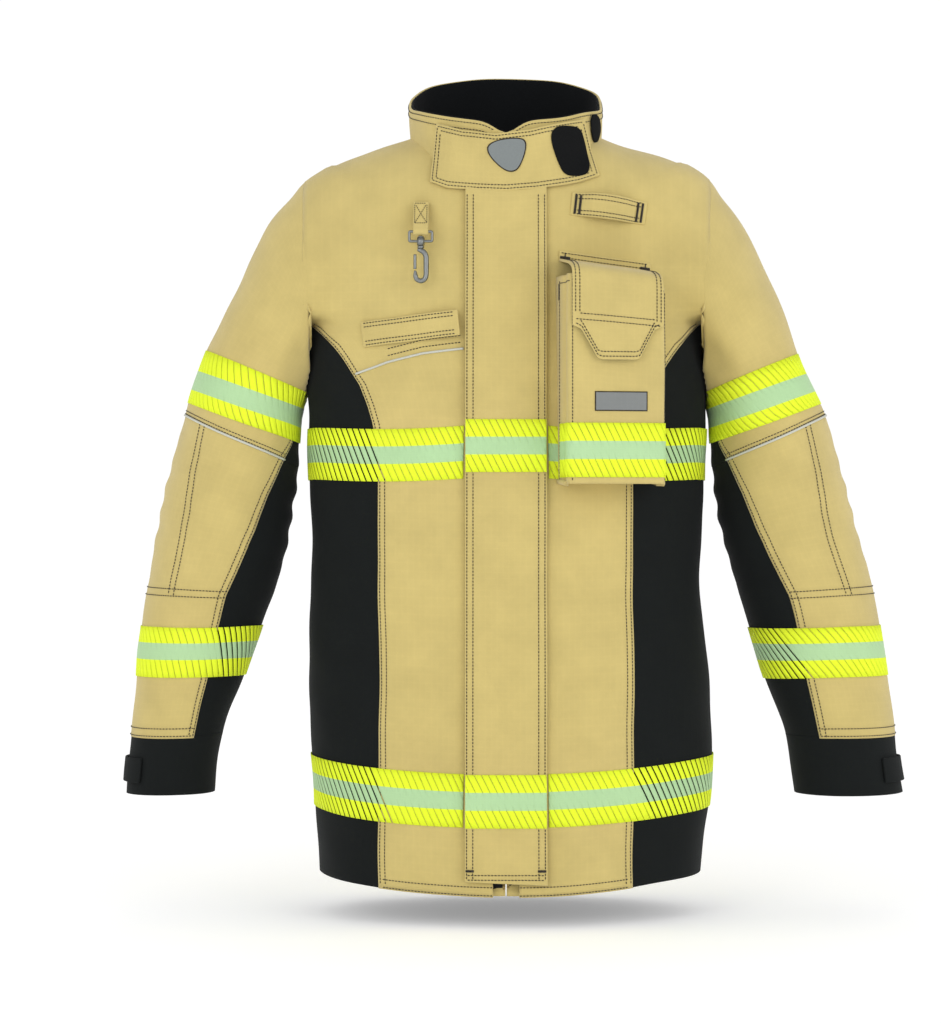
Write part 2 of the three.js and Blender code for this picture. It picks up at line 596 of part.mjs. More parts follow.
hookOutline.lineTo(-5, HOOK_TOP - 29);
hookOutline.absarc(0, HOOK_TOP - 29, 5, Math.PI, 2 * Math.PI, false);
hookOutline.lineTo(4.5, HOOK_TOP - 7);
hookOutline.lineTo(-6, HOOK_TOP - 5);
hookOutline.closePath();
const hookBody = new THREE.ExtrudeGeometry(hookOutline, { depth: 6, bevelEnabled: false, curveSegments: 8 });
hookBody.rotateX(Math.PI / 2);
const swivelHead = hookPart(rodZ(3.6, 1.6), 0, 0, SWIVEL_Z + 3);
const swivelStem = hookPart(rodZ(2.2, 13), 0, 0, SWIVEL_Z - 3).add(swivelHead);
add("snap_hook", hookPart(hookBody, 0, 3, 0).add(swivelStem), STEEL);
const GATE_LONG = 15.5;
const gate = new THREE.BoxGeometry(2.6, 4, GATE_LONG);
add("snap_gate", hookPart(gate, -6.7, 0, HOOK_TOP - 6.5 - GATE_LONG / 2), STEEL);

// Sleeves. The upper arm folds at the shoulder cut, the forearm at the elbow cut.
const underarmOutline = [
  [-219, -255], [-219, -277], [-248, -342], [-276, -405], [-295, -451], [-309, -494], [-326, -571],
  [-334, -600],
  [-334, -720], [-180, -720], [-180, -255],
];
const grown = (outline, by) => outline.map(([x, z]) => [x - by, z]);
const upperAxis = { ux: -0.36, uz: -0.933 };
const acrossSleeve = (at, half, gap = 0) => ({
  near: { x: at.x - at.ux * half, z: at.z - at.uz * half, ux: at.ux, uz: at.uz },
  far: { x: at.x + at.ux * (half + gap), z: at.z + at.uz * (half + gap), ux: at.ux, uz: at.uz },
});
const ELBOW_GAP = 0.6;
const insideTorso = box(-150, 150, -200, 200, -900, 100);
for (const side of [-1, 1]) {
  const name = sideName(side);
  const grid = sleeveGrid(side);
  const flip = (cut) => (side < 0 ? cut : { x: -cut.x, z: cut.z, ux: -cut.ux, uz: cut.uz });
  const past = (cut, gap = 0) => beyond(flip(cut), gap);
  const sleeve = shell(grid, 0, SHELL, true).subtract(chest(SHELL + 1)).subtract(insideTorso);
  const under = prism(mirrored(underarmOutline, side));
  const over = prism(mirrored(grown(underarmOutline, SEAM_GAP), side));
  const upper = sleeve.intersect(past(SHOULDER_CUT, ELBOW_GAP)).subtract(past(ELBOW_CUT));
  const lower = sleeve.intersect(past(ELBOW_CUT, ELBOW_GAP)).intersect(slab(CUFF_Z, 0));
  add(`shoulder_${name}`, sleeve.subtract(past(SHOULDER_CUT)), TAN);
  add(`upper_sleeve_${name}`, upper.subtract(over), TAN);
  add(`underarm_upper_${name}`, upper.intersect(under), BLACK);
  add(`forearm_${name}`, lower.subtract(over), TAN);
  add(`underarm_lower_${name}`, lower.intersect(under), BLACK);
  add(`cuff_${name}`, sleeve.intersect(slab(-720, CUFF_Z - SEAM_GAP)), BLACK);
  const trim = shell(grid, PANEL_TRIM.low, PANEL_TRIM.high, true);
  const high = acrossSleeve({ x: -283, z: -264, ...upperAxis }, TRIM_HIGH / 2);
  const low = acrossSleeve({ x: -352, z: -557, ux: -0.16, uz: -0.987 }, TRIM_HIGH / 2);
  const clearOfTorso = trim.subtract(chest(SHELL + 5));
  add(`upper_trim_${name}`, clearOfTorso.intersect(past(high.near)).subtract(past(high.far)), LIME);
  add(`lower_trim_${name}`, trim.intersect(past(low.near)).subtract(past(low.far)), LIME);
  const pipe = acrossSleeve({ x: -297, z: -326, ...upperAxis }, 2.5);
  const piping = shell(grid, SHELL + TRIM_GAP, SHELL + TRIM_GAP + 1.7, true).subtract(chest(SHELL + 5));
  const pipeRun = piping.intersect(past(pipe.near)).subtract(past(pipe.far));
  add(`elbow_piping_${name}`, pipeRun.subtract(over), SILVER);
  const wrist = shell(grid, -7, -4.5, true).intersect(slab(-694, -668));
  add(`wristlet_${name}`, wrist, KNIT);
  const tabRegion = side < 0 ? box(-600, -388, -400, 400, -691, -665) : box(388, 600, -400, 400, -691, -665);
  add(`cuff_tab_${name}`, shell(grid, SHELL + 0.5, SHELL + 3, true).intersect(tabRegion), BLACK);
}

export default coat;
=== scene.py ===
import bmesh
import bpy
import numpy as np
from mathutils import Matrix, Vector


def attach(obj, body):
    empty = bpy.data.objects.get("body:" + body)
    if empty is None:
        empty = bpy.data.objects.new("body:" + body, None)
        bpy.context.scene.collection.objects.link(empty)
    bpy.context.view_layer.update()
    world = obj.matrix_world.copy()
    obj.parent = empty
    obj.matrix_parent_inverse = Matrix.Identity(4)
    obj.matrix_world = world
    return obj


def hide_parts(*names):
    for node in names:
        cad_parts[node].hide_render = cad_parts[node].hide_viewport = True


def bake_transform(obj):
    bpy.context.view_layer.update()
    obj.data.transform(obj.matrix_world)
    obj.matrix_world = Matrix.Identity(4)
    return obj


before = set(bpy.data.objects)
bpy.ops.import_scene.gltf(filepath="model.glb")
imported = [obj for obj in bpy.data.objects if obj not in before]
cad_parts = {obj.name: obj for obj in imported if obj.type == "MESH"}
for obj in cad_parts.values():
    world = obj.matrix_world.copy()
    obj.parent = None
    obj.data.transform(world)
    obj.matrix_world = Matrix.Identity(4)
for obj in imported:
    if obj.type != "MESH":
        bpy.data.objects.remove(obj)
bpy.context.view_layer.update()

# Camera, floor and light: a plain white studio, seen straight on to the chest from 3.2 m. Two softboxes
# stand in front and to the sides, and the sky is brighter low down than overhead.
camera = bpy.data.objects.new("camera", bpy.data.cameras.new("camera"))
bpy.context.scene.collection.objects.link(camera)
bpy.context.scene.camera = camera
camera.location = (0, -3.2, -0.394)
camera.rotation_euler = (np.pi / 2, 0, 0)
camera.data.lens = 100.4
camera.data.sensor_width = 36
camera.data.shift_x = -0.0347
bpy.context.scene.view_settings.view_transform = "Standard"

studio = bpy.data.worlds.new("studio")
studio.use_nodes = True
nodes, links = studio.node_tree.nodes, studio.node_tree.links
nodes["Background"].inputs["Color"].default_value = (1, 1, 1, 1)
sky_way = nodes.new("ShaderNodeTexCoord")
sky_height = nodes.new("ShaderNodeSeparateXYZ")
sky_fade = nodes.new("ShaderNodeMapRange")
for socket, value in (("From Min", 0.25), ("From Max", 0.95), ("To Min", 1.02), ("To Max", 0.66)):
    sky_fade.inputs[socket].default_value = value
links.new(sky_way.outputs["Generated"], sky_height.inputs["Vector"])
links.new(sky_height.outputs["Z"], sky_fade.inputs["Value"])
links.new(sky_fade.outputs["Result"], nodes["Background"].inputs["Strength"])
bpy.context.scene.world = studio


def softbox(name, place, aim, size, power):
    lamp = bpy.data.objects.new(name, bpy.data.lights.new(name, "AREA"))
    lamp.data.size = size
    lamp.data.energy = power
    lamp.location = place
    lamp.rotation_euler = (Vector(aim) - Vector(place)).to_track_quat("-Z", "Y").to_euler()
    bpy.context.scene.collection.objects.link(lamp)


softbox("key_light", (-1.6, -2.8, 0.7), (0, 0, -0.35), 1.6, 16)
softbox("fill_light", (2.2, -2.4, 0.2), (0, 0, -0.4), 2.0, 18)


FLOOR_Z = -0.84
floor_mesh = bpy.data.meshes.new("studio_floor")
bm = bmesh.new()
bmesh.ops.create_grid(bm, x_segments=1, y_segments=1, size=30)
bmesh.ops.translate(bm, verts=bm.verts, vec=(0, 0, FLOOR_Z))
bm.to_mesh(floor_mesh)
bm.free()
studio_floor = bpy.data.objects.new("studio_floor", floor_mesh)
bpy.context.scene.collection.objects.link(studio_floor)
floor_paint = bpy.data.materials.new("floor_paint")
floor_paint.use_nodes = True
paint = floor_paint.node_tree.nodes["Principled BSDF"].inputs
paint["Base Color"].default_value = (0.97, 0.97, 0.97, 1)
paint["Roughness"].default_value = 0.9
paint["Emission Color"].default_value = (1, 1, 1, 1)
paint["Emission Strength"].default_value = 0.24
floor_mesh.materials.append(floor_paint)


# The body and sleeves as one soft form. Each torso level is a rounded oblong, the sleeves are oval
# tubes, and both run together at the armholes. Every layer of cloth lies a set lift above it.
TORSO_LEVELS = [  # height, half width, depth behind the neck, depth in front
    (-0.860, 0.209, 0.127, 0.1429),
    (-0.813, 0.211, 0.126, 0.1406),
    (-0.720, 0.220, 0.124, 0.1362),
    (-0.600, 0.224, 0.119, 0.1304),
    (-0.440, 0.215, 0.115, 0.1227),
    (-0.320, 0.220, 0.123, 0.1170),
    (-0.190, 0.222, 0.130, 0.1107),
    (-0.090, 0.221, 0.124, 0.1059),
    (-0.050, 0.219, 0.119, 0.1040),
    (-0.025, 0.214, 0.112, 0.0940),
    (-0.005, 0.179, 0.102, 0.0820),
    (0.012, 0.129, 0.088, 0.0680),
    (0.028, 0.082, 0.075, 0.0550),
    (0.040, 0.040, 0.060, 0.0400),
]
ROUNDNESS = 2.3  # of the torso's and the collar's outline, 2 being an oval
ARMHOLE_RUN_IN = 0.024
SLEEVE_STATIONS = [  # middle of the wearer's right sleeve, its half width and half depth
    (-0.150, 0.004, -0.050, 0.058, 0.066),
    (-0.194, 0.004, -0.104, 0.073, 0.076),
    (-0.237, 0.004, -0.172, 0.068, 0.079),
    (-0.284, 0.005, -0.256, 0.060, 0.077),
    (-0.303, 0.006, -0.345, 0.068, 0.075),
    (-0.318, 0.005, -0.430, 0.071, 0.073),
    (-0.344, -0.004, -0.535, 0.064, 0.066),
    (-0.365, -0.017, -0.620, 0.054, 0.058),
    (-0.374, -0.028, -0.706, 0.052, 0.055),
]


def flowing(levels, along):
    """The levels thickened into many, on a curve that passes smoothly through them all."""
    table = np.array(levels)
    keys = table[:, along]
    slopes = np.gradient(table, keys, axis=0)
    at = np.linspace(keys[0], keys[-1], 400)
    i = np.clip(np.searchsorted(keys, at) - 1 if keys[0] < keys[-1] else 0, 0, len(keys) - 2)
    gap = (keys[i + 1] - keys[i])[:, None]
    t = ((at - keys[i])[:, None]) / gap
    h1, h2 = 2 * t**3 - 3 * t**2 + 1, t**3 - 2 * t**2 + t
    h3, h4 = -2 * t**3 + 3 * t**2, t**3 - t**2
    return h1 * table[i] + h2 * gap * slopes[i] + h3 * table[i + 1] + h4 * gap * slopes[i + 1]


def run_along(points):
    """The length along a line at each of its points."""
    return np.concatenate([[0], np.cumsum(np.linalg.norm(np.diff(points, axis=0), axis=1))])


def smooth(t):
    """0 to 1 with a soft start and end."""
    t = np.clip(t, 0, 1)
    return t * t * (3 - 2 * t)


TORSO = flowing(TORSO_LEVELS, 0)
SLEEVE_MIDDLE = np.array(SLEEVE_STATIONS)[:, :3]
SLEEVE = flowing(np.column_stack([run_along(SLEEVE_MIDDLE), np.array(SLEEVE_STATIONS)]), 0)
SLEEVE_SLOPE = np.gradient(SLEEVE[:, 1:4], SLEEVE[:, 0], axis=0)
SLEEVE_SLOPE /= np.linalg.norm(SLEEVE_SLOPE, axis=1)[:, None]


def sleeve_at(run_length):
    """Middle, direction, half width and half depth of the right sleeve at a length along it."""
    s = np.clip(run_length, SLEEVE[0, 0], SLEEVE[-1, 0])
    middle = np.stack([np.interp(s, SLEEVE[:, 0], SLEEVE[:, k]) for k in (1, 2, 3)], -1)
    slope = np.stack([np.interp(s, SLEEVE[:, 0], SLEEVE_SLOPE[:, k]) for k in (0, 1, 2)], -1)
    return middle, slope, np.interp(s, SLEEVE[:, 0], SLEEVE[:, 4]), np.interp(s, SLEEVE[:, 0], SLEEVE[:, 5])


def torso_depth(p):
    """How far outside the torso each point lies."""
    a = np.interp(p[:, 2], TORSO[:, 0], TORSO[:, 1])
    back = np.interp(p[:, 2], TORSO[:, 0], TORSO[:, 2])
    front = np.interp(p[:, 2], TORSO[:, 0], TORSO[:, 3])
    depth = np.where(p[:, 1] < 0, front, back)
    rho = ((np.abs(p[:, 0]) / a) ** ROUNDNESS + (np.abs(p[:, 1]) / depth) ** ROUNDNESS) ** (1 / ROUNDNESS)
    rho = np.maximum(rho, 1e-4)
    reach = np.hypot(p[:, 0], p[:, 1])
    slope = np.interp(p[:, 2], TORSO[:, 0], np.gradient(TORSO[:, 3], TORSO[:, 0]))
    away = reach * (1 - 1 / rho) / np.sqrt(1 + np.minimum(slope, 0) ** 2)
    return np.maximum(away, p[:, 2] - 0.045)


def sleeve_depth(p):
    """How far outside the nearer sleeve each point lies."""
    q = np.column_stack([-np.abs(p[:, 0]), p[:, 1], p[:, 2]])
    s = np.interp(-q[:, 2], -SLEEVE[:, 3], SLEEVE[:, 0])
    for _ in range(3):
        middle, slope, _, _ = sleeve_at(s)
        s = s + ((q - middle) * slope).sum(1)
    middle, slope, wide, deep = sleeve_at(s)
    off = q - middle
    side = off[:, 0] * slope[:, 2] - off[:, 2] * slope[:, 0]
    rho = np.maximum(np.hypot(side / wide, off[:, 1] / deep), 1e-4)
    tube = np.hypot(side, off[:, 1]) * (1 - 1 / rho)
    return np.maximum(tube, np.where(s < SLEEVE[0, 0], SLEEVE[0, 0] - s, -1.0))


def form(p, of_sleeve):
    """How far outside the whole form each point lies, for cloth of the body or of a sleeve."""
    away = np.clip((-0.175 - p[:, 2]) / 0.05, 0, 1) ** 2 * 3
    body, arm = torso_depth(p), sleeve_depth(p)
    body, arm = (body + away, arm) if of_sleeve else (body, arm + away)
    share = np.clip(0.5 + 0.5 * (body - arm) / ARMHOLE_RUN_IN, 0, 1)
    return body * (1 - share) + arm * share - ARMHOLE_RUN_IN * share * (1 - share)


def seek(start, direction, of_sleeve, reach=0.30):
    """Where a line from inside the form comes out of it."""
    near, far = np.zeros(len(start)), np.full(len(start), reach)
    for _ in range(20):
        half = (near + far) / 2
        inside = form(start + direction * half[:, None], of_sleeve) < 0
        near, far = np.where(inside, half, near), np.where(inside, far, half)
    return start + direction * near[:, None]


def outward(p, of_sleeve):
    """The direction straight out of the form at each point."""
    step = 0.003
    n = np.stack([form(p + d, of_sleeve) - form(p - d, of_sleeve) for d in np.eye(3) * step], -1)
    return n / np.maximum(np.linalg.norm(n, axis=1), 1e-9)[:, None]


FOLD_DEPTH, CREASE_DEPTH = 0.0018, 0.0022
ELBOW_Z, CROOK_Z = -0.385, -0.215  # the elbow's bend, and the crook between arm and chest


def folds(p):
    """Soft folds and dents that every layer shares, so that trim and stitching stay on the cloth: creases at
    the elbows and armpits, a sway at the hem, ease where the coat hangs fuller, and calm under the flap."""
    x, y, z = p.T
    soft = (
        np.sin(21 * x + 9 * z + 1.3) * np.sin(13 * z - 7 * x)
        + 0.8 * np.sin(33 * x - 17 * z + 14 * y + 0.4)
        + 0.6 * np.sin(47 * z + 29 * x * np.sign(x) + 2.0) * np.sin(25 * y + 11 * x)
        + 0.35 * np.sin(83 * x + 31 * z) * np.sin(61 * z - 23 * y)
    )
    side = np.abs(x)
    arm = np.clip((side - 0.215) / 0.03, 0, 1)
    elbow = np.exp(-(((z - ELBOW_Z) / 0.06) ** 2)) * arm
    creases = CREASE_DEPTH * np.sin((z - 0.5 * side) * 190 + 6 * y) * elbow * (0.5 + 0.5 * np.sin(40 * y))
    crook = np.exp(-(((z - CROOK_Z) / 0.05) ** 2) - ((side - 0.215) / 0.045) ** 2)
    creases += 0.0020 * np.sin(120 * (side + 0.6 * z)) * crook
    hem = np.clip((-0.45 - z) / 0.36, 0, 1)
    sway = CREASE_DEPTH * hem * np.sin(34 * x + 1.1) * (1 - arm)
    ramp = smooth((-0.42 - z) / 0.12) * arm
    ease = np.where(x < 0, -0.0058, 0.0045) * ramp
    left_shoulder = smooth((x - 0.25) / 0.06) * np.exp(-(((z - CROOK_Z) / 0.055) ** 2))
    ease -= 0.0095 * left_shoulder
    flank = (side / 0.22) ** 3 * (1 - arm) * smooth((-0.50 - z) / 0.12)
    ease += np.where(x < 0, -0.0075, 0.0030 * smooth((0.80 + z) / 0.08)) * flank
    under_flap = np.exp(-((x / 0.060) ** 6)) * (y < 0) * smooth((z + 0.803) / 0.02)
    return (FOLD_DEPTH * soft + sway) * (1 - 0.92 * under_flap) + creases + ease


def laid(p, lift, of_sleeve=False):
    """Points moved out to a lift above the form, folds included."""
    return p + outward(p, of_sleeve) * (lift + folds(p))[:, None]


def lay_out(bm, spots, out):
    """Moves a flat grid to its spots and turns its faces to the outside."""
    for vert, spot in zip(bm.verts, spots):
        vert.co = spot
    bm.normal_update()
    if sum(face.normal.dot(Vector(out[face.verts[0].index])) for face in bm.faces) < 0:
        bmesh.ops.reverse_faces(bm, faces=bm.faces)


def cloth(name, columns, rows, place, look, thick=0.0024, flat=(1, 1), sides=None, edge=True):
    """A sheet of cloth: a flat grid laid where place says, given its thickness inwards and soft edges. flat
    is its size for the weave, and sides(u, v) picks the look of each face where there are two."""
    bm = bmesh.new()
    bmesh.ops.create_grid(bm, x_segments=columns, y_segments=rows, size=0.5)
    weave = bm.loops.layers.uv.new("weave")
    u = np.array([v.co.x for v in bm.verts]) + 0.5
    v = np.array([v.co.y for v in bm.verts]) + 0.5
    for face in bm.faces:
        for loop in face.loops:
            loop[weave].uv = ((loop.vert.co.x + 0.5) * flat[0], (loop.vert.co.y + 0.5) * flat[1])
        if sides is not None:
            middle = face.calc_center_median()
            face.material_index = sides(middle.x + 0.5, middle.y + 0.5)
    lay_out(bm, *place(u, v))
    bmesh.ops.remove_doubles(bm, verts=bm.verts, dist=0.00005)
    return finished(name, bm, look, thick, edge)


def finished(name, bm, look, thick=0, edge=False):
    """Turns a bmesh into a piece with its look, and gives it a thickness and soft edges."""
    for face in bm.faces:
        face.smooth = True
    mesh = bpy.data.meshes.new(name)
    bm.to_mesh(mesh)
    bm.free()
    for each in look if isinstance(look, (list, tuple)) else [look]:
        mesh.materials.append(each)
    piece = bpy.data.objects.new(name, mesh)
    bpy.context.scene.collection.objects.link(piece)
    if thick:
        body = piece.modifiers.new("thickness", "SOLIDIFY")
        body.thickness = thick
        body.offset = -1
        body.use_even_offset = False
        body.material_offset = 1 if isinstance(look, tuple) else 0
    if edge:
        round_edge = piece.modifiers.new("soft_edge", "BEVEL")
        round_edge.width = min(0.0008, thick * 0.35)
        round_edge.segments = 2
        round_edge.limit_method = "ANGLE"
        round_edge.angle_limit = np.radians(60)
    return piece


# Shell cloth: a matte flame-resistant ripstop in tan and a stretch twill in black. Fine plain weave with a
# heavier thread every few millimetres, slightly uneven dye and a soft bloom of loose fibre.
def srgb(red, green, blue):
    """The linear colour of a cloth swatch given in 0 to 255."""
    swatch = np.array((red, green, blue)) / 255
    linear = np.where(swatch <= 0.04045, swatch / 12.92, ((swatch + 0.055) / 1.055) ** 2.4)
    return (*[float(v) for v in linear], 1.0)


def worked_out(look, operation, *feeds, kind="ShaderNodeMath"):
    """One step of sums in a look, fed by the outputs of others or by plain numbers."""
    step = look.node_tree.nodes.new(kind)
    step.operation = operation
    for slot, feed in zip(step.inputs, feeds):
        if isinstance(feed, bpy.types.NodeSocket):
            look.node_tree.links.new(feed, slot)
        else:
            slot.default_value = feed
    return step.outputs[0]


def raised(look, height, relief):
    """Gives a look a surface that rises with its pattern."""
    bump = look.node_tree.nodes.new("ShaderNodeBump")
    bump.inputs["Strength"].default_value = relief
    bump.inputs["Distance"].default_value = 0.0004
    look.node_tree.links.new(height, bump.inputs["Height"])
    look.node_tree.links.new(bump.outputs["Normal"], look.node_tree.nodes["Principled BSDF"].inputs["Normal"])


def threads(look, flat, axis, spacing, **more):
    """Evenly spaced threads across the cloth."""
    wave = look.node_tree.nodes.new("ShaderNodeTexWave")
    wave.bands_direction = axis
    wave.inputs["Scale"].default_value = 1 / (spacing * 20 / 6.2832)
    for socket, value in more.items():
        wave.inputs[socket].default_value = value
    look.node_tree.links.new(flat, wave.inputs["Vector"])
    return wave.outputs["Fac"]


def cloth_look(
    name, colour, uneven=0.07, rough=0.85, bloom=0.25, thread=0.0008, relief=0.25, rip=0.0064, follow="UV"
):
    """A woven look: thread and rip are the spacing of the fine and the heavy threads."""
    look = bpy.data.materials.new(name)
    look.use_nodes = True
    nodes, links = look.node_tree.nodes, look.node_tree.links
    shader = nodes["Principled BSDF"]
    shader.inputs["Roughness"].default_value = rough
    shader.inputs["Sheen Weight"].default_value = bloom
    shader.inputs["Sheen Roughness"].default_value = 0.5
    shader.inputs["Specular IOR Level"].default_value = 0.1
    spot = nodes.new("ShaderNodeTexCoord")
    dye = nodes.new("ShaderNodeTexNoise")
    dye.inputs["Scale"].default_value = 22
    dye.inputs["Detail"].default_value = 6
    dye.inputs["Roughness"].default_value = 0.65
    links.new(spot.outputs["Object"], dye.inputs["Vector"])
    shade = nodes.new("ShaderNodeValToRGB")
    shade.color_ramp.elements[0].position = 0.3
    shade.color_ramp.elements[1].position = 0.7
    shade.color_ramp.elements[0].color = (*[c * (1 - uneven) for c in colour[:3]], 1)
    shade.color_ramp.elements[1].color = (*[min(1, c * (1 + uneven)) for c in colour[:3]], 1)
    links.new(dye.outputs["Fac"], shade.inputs["Fac"])
    heights = []
    for axis in ("X", "Y"):
        fine = threads(look, spot.outputs[follow], axis, thread, Distortion=0.6, Detail=1)
        heavy = worked_out(look, "POWER", threads(look, spot.outputs[follow], axis, rip), 9)
        heights.append(worked_out(look, "ADD", fine, worked_out(look, "MULTIPLY", heavy, 0.35)))
    weave = worked_out(look, "ADD", *heights)
    tint = worked_out(look, "MULTIPLY_ADD", weave, 0.05, 0.93)
    woven = worked_out(look, "MULTIPLY", shade.outputs["Color"], tint, kind="ShaderNodeVectorMath")
    links.new(woven, shader.inputs["Base Color"])
    raised(look, weave, relief)
    return look


TAN = cloth_look("tan_ripstop_shell", srgb(198, 179, 114))
BLACK = cloth_look("black_stretch_shell", srgb(21, 24, 24), bloom=0.03, thread=0.0011, rip=0.0090)
LINING = cloth_look("black_face_cloth", srgb(11, 13, 15), bloom=0.02, thread=0.0009, rip=0.02)
LINED_TAN, LINED_BLACK = (TAN, LINING), (BLACK, LINING)


# How the shell is cut: the hem rises a little to the sides, and a curved seam on each side of the chest and
# back joins the tan panels to the black ones. Stitching lies just over the shell.
HEM_FRONT = -0.807
HEM_RISE = 0.016
HALF_CHEST = 0.21
FRONT_EDGE = 0.014
SHELL = 0.003
ON_SHELL = SHELL + 0.0004
SIDES = {"right": -1, "left": 1}
ZONE = -0.12  # above here the rows tilt over the shoulders
SEAM_LINE = [  # height of each point of the seam between tan and black, and its distance from the middle
    (-0.860, 0.1365), (-0.345, 0.1370), (-0.300, 0.1445), (-0.278, 0.1510), (-0.255, 0.1600),
    (-0.233, 0.1750), (-0.211, 0.1900), (-0.192, 0.2110), (-0.184, 0.2225), (-0.150, 0.2225),
]
SEAM_Z, SEAM_X = np.array(SEAM_LINE).T


def hem_at(x):
    return HEM_FRONT + HEM_RISE * (np.abs(x) / HALF_CHEST) ** 2


def seam_at(z):
    return np.interp(z, SEAM_Z, SEAM_X)


def climbed(climb, x):
    """The height at a share of the way from the hem to the armpit level."""
    return hem_at(x) + (ZONE - hem_at(x)) * np.clip(climb, 0, 1)


def climb_to(z, x):
    return (z - hem_at(x)) / (ZONE - hem_at(x))


def over_chest(x, climb, back=False):
    """The form at a distance x from the middle: climb runs from the hem, 0, to the armpit level, 1, and over
    the shoulder, 2."""
    z = climbed(climb, x)
    tilt = np.clip(climb - 1, 0, 1) * np.pi / 2
    way = 1 if back else -1
    direction = np.stack([np.zeros_like(x), way * np.cos(tilt), np.sin(tilt)], -1)
    return seek(np.stack([x, np.zeros_like(x), z], -1), direction, False)


def on_chest(x, z):
    """The form straight behind a point seen from the front."""
    x, z = np.broadcast_arrays(np.asarray(x, float), np.asarray(z, float))
    start = np.stack([x.ravel(), np.zeros(x.size), z.ravel()], -1)
    return seek(start, np.tile([0.0, -1.0, 0.0], (x.size, 1)), False)


NECK_MIDDLE, NECK_HALF, NECK_DEEP = -0.009, 0.098, 0.093
UNDER_COLLAR = 0.012


def in_neck(p):
    x, y = p[0] / (NECK_HALF - UNDER_COLLAR), (p[1] - NECK_MIDDLE) / (NECK_DEEP - UNDER_COLLAR)
    return abs(x) ** ROUNDNESS + abs(y) ** ROUNDNESS < 1 and p[2] > -0.09


def body_cloth(name, columns, side, back, inner, flat):
    """A front or back panel from its inner edge to the side seam, and from the hem over the shoulder."""

    def place(u, v):
        z = climbed(2 * v, 0.1)
        x = side * (inner(z) + (seam_at(z) - inner(z)) * u)
        p = over_chest(x, 2 * v, back)
        return laid(p, SHELL), outward(p, False)

    piece = cloth(name, columns, 170, place, LINED_TAN, flat=flat, edge=False)
    bm = bmesh.new()
    bm.from_mesh(piece.data)
    gone = [face for face in bm.faces if all(in_neck(vert.co) for vert in face.verts)]
    bmesh.ops.delete(bm, geom=gone, context="FACES")
    bm.to_mesh(piece.data)
    bm.free()
    return piece


# Stitching: real thread, one small rounded stitch after another, in rows along the seams and edges. Bar tacks
# are the same thread sewn close and thick across a stressed corner.
THREAD = cloth_look(
    "dark_sewing_thread", srgb(44, 38, 30), uneven=0.2, thread=0.0004, relief=0.6, follow="Object"
)
STITCH, STITCH_STEP = (0.0029, 0.0011, 0.0009), 0.0036
TACK, TACK_STEP = (0.0016, 0.0030, 0.0012), 0.0011


def stitched(bm, path, out, step=STITCH_STEP, size=STITCH):
    """Adds a row of stitches along a path that lies on the cloth."""
    length = run_along(path)
    count = int(length[-1] / step)
    for at in (np.arange(count) + 0.5) * step:
        spot = Vector([np.interp(at, length, path[:, k]) for k in range(3)])
        ahead = Vector([np.interp(at + step / 2, length, path[:, k]) for k in range(3)])
        up = Vector([np.interp(at, length, out[:, k]) for k in range(3)]).normalized()
        along = (ahead - spot).normalized()
        across = up.cross(along).normalized()
        turn = Matrix((along, across, along.cross(across))).transposed().to_4x4()
        shape = Matrix.Diagonal((*size, 1))
        bmesh.ops.create_icosphere(
            bm, subdivisions=1, radius=0.55, matrix=Matrix.Translation(spot) @ turn @ shape
        )


def seam_rows(bm, place, rows, count):
    """Rows of stitches: place(t, row) gives the points of one row for t from 0 to 1."""
    t = np.linspace(0, 1, count)
    for row in rows:
        stitched(bm, *place(t, row))


# Front and back panels: tan shell cloth, cut to the armhole, its long edges folded under and sewn with
# two rows over the black sides. Double rows run along the hem.
for name, side in SIDES.items():
    panel = body_cloth(f"front_{name}", 36, side, False, lambda z: FRONT_EDGE + 0 * z, (0.125, 0.95))
    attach(panel, "coat_body")
    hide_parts(f"front_panel_{name}")
back = body_cloth("back", 70, 1, True, lambda z: -seam_at(z), (0.27, 0.95))
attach(back, "coat_body")
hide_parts("back_panel")

bm = bmesh.new()
EDGE_ROWS, HEM_ROWS = (0.0022, 0.0075), (0.0018, 0.0105)
SEAM_FOOT, SEAM_HEAD = 0.137, -0.186  # the seam's place at the hem, and its height under the arm
for side in SIDES.values():
    for back_side in (False, True):

        def down_seam(t, inset):
            foot, top = climb_to(HEM_FRONT + 0.012, SEAM_FOOT), climb_to(SEAM_HEAD, SEAM_FOOT)
            climb = foot + t * (top - foot)
            x = side * (seam_at(climbed(climb, SEAM_FOOT)) - inset)
            p = over_chest(x, np.minimum(climb, 1.0), back_side)
            return laid(p, ON_SHELL), outward(p, False)

        def along_hem(t, inset):
            start = 0 if back_side else FRONT_EDGE
            x = side * (start + t * (SEAM_FOOT - 0.003 - start))
            p = over_chest(x, inset / (ZONE - hem_at(x)), back_side)
            return laid(p, ON_SHELL), outward(p, False)

        seam_rows(bm, down_seam, EDGE_ROWS, 220)
        seam_rows(bm, along_hem, HEM_ROWS, 90)
stitching = finished("body_stitching", bm, THREAD)
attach(stitching, "coat_body")


# Side panels: black stretch cloth from the hem up to the armpit, cut to the curve of the armhole. Their edges
# lie just under the tan panels' folded edges and are caught by the same two rows of stitching.
UNDER_TAN = SHELL - 0.0007
EDGE_OVERLAP = 0.03  # in radians round the body
ARMPIT = -0.178


def round_body(angle, z):
    """The form at an angle round the body, 0 at the wearer's left and a quarter turn at the back."""
    start = np.stack([0 * z, 0 * z, z], -1)
    direction = np.stack([np.cos(angle), np.sin(angle), 0 * z], -1)
    return seek(start, direction, False)


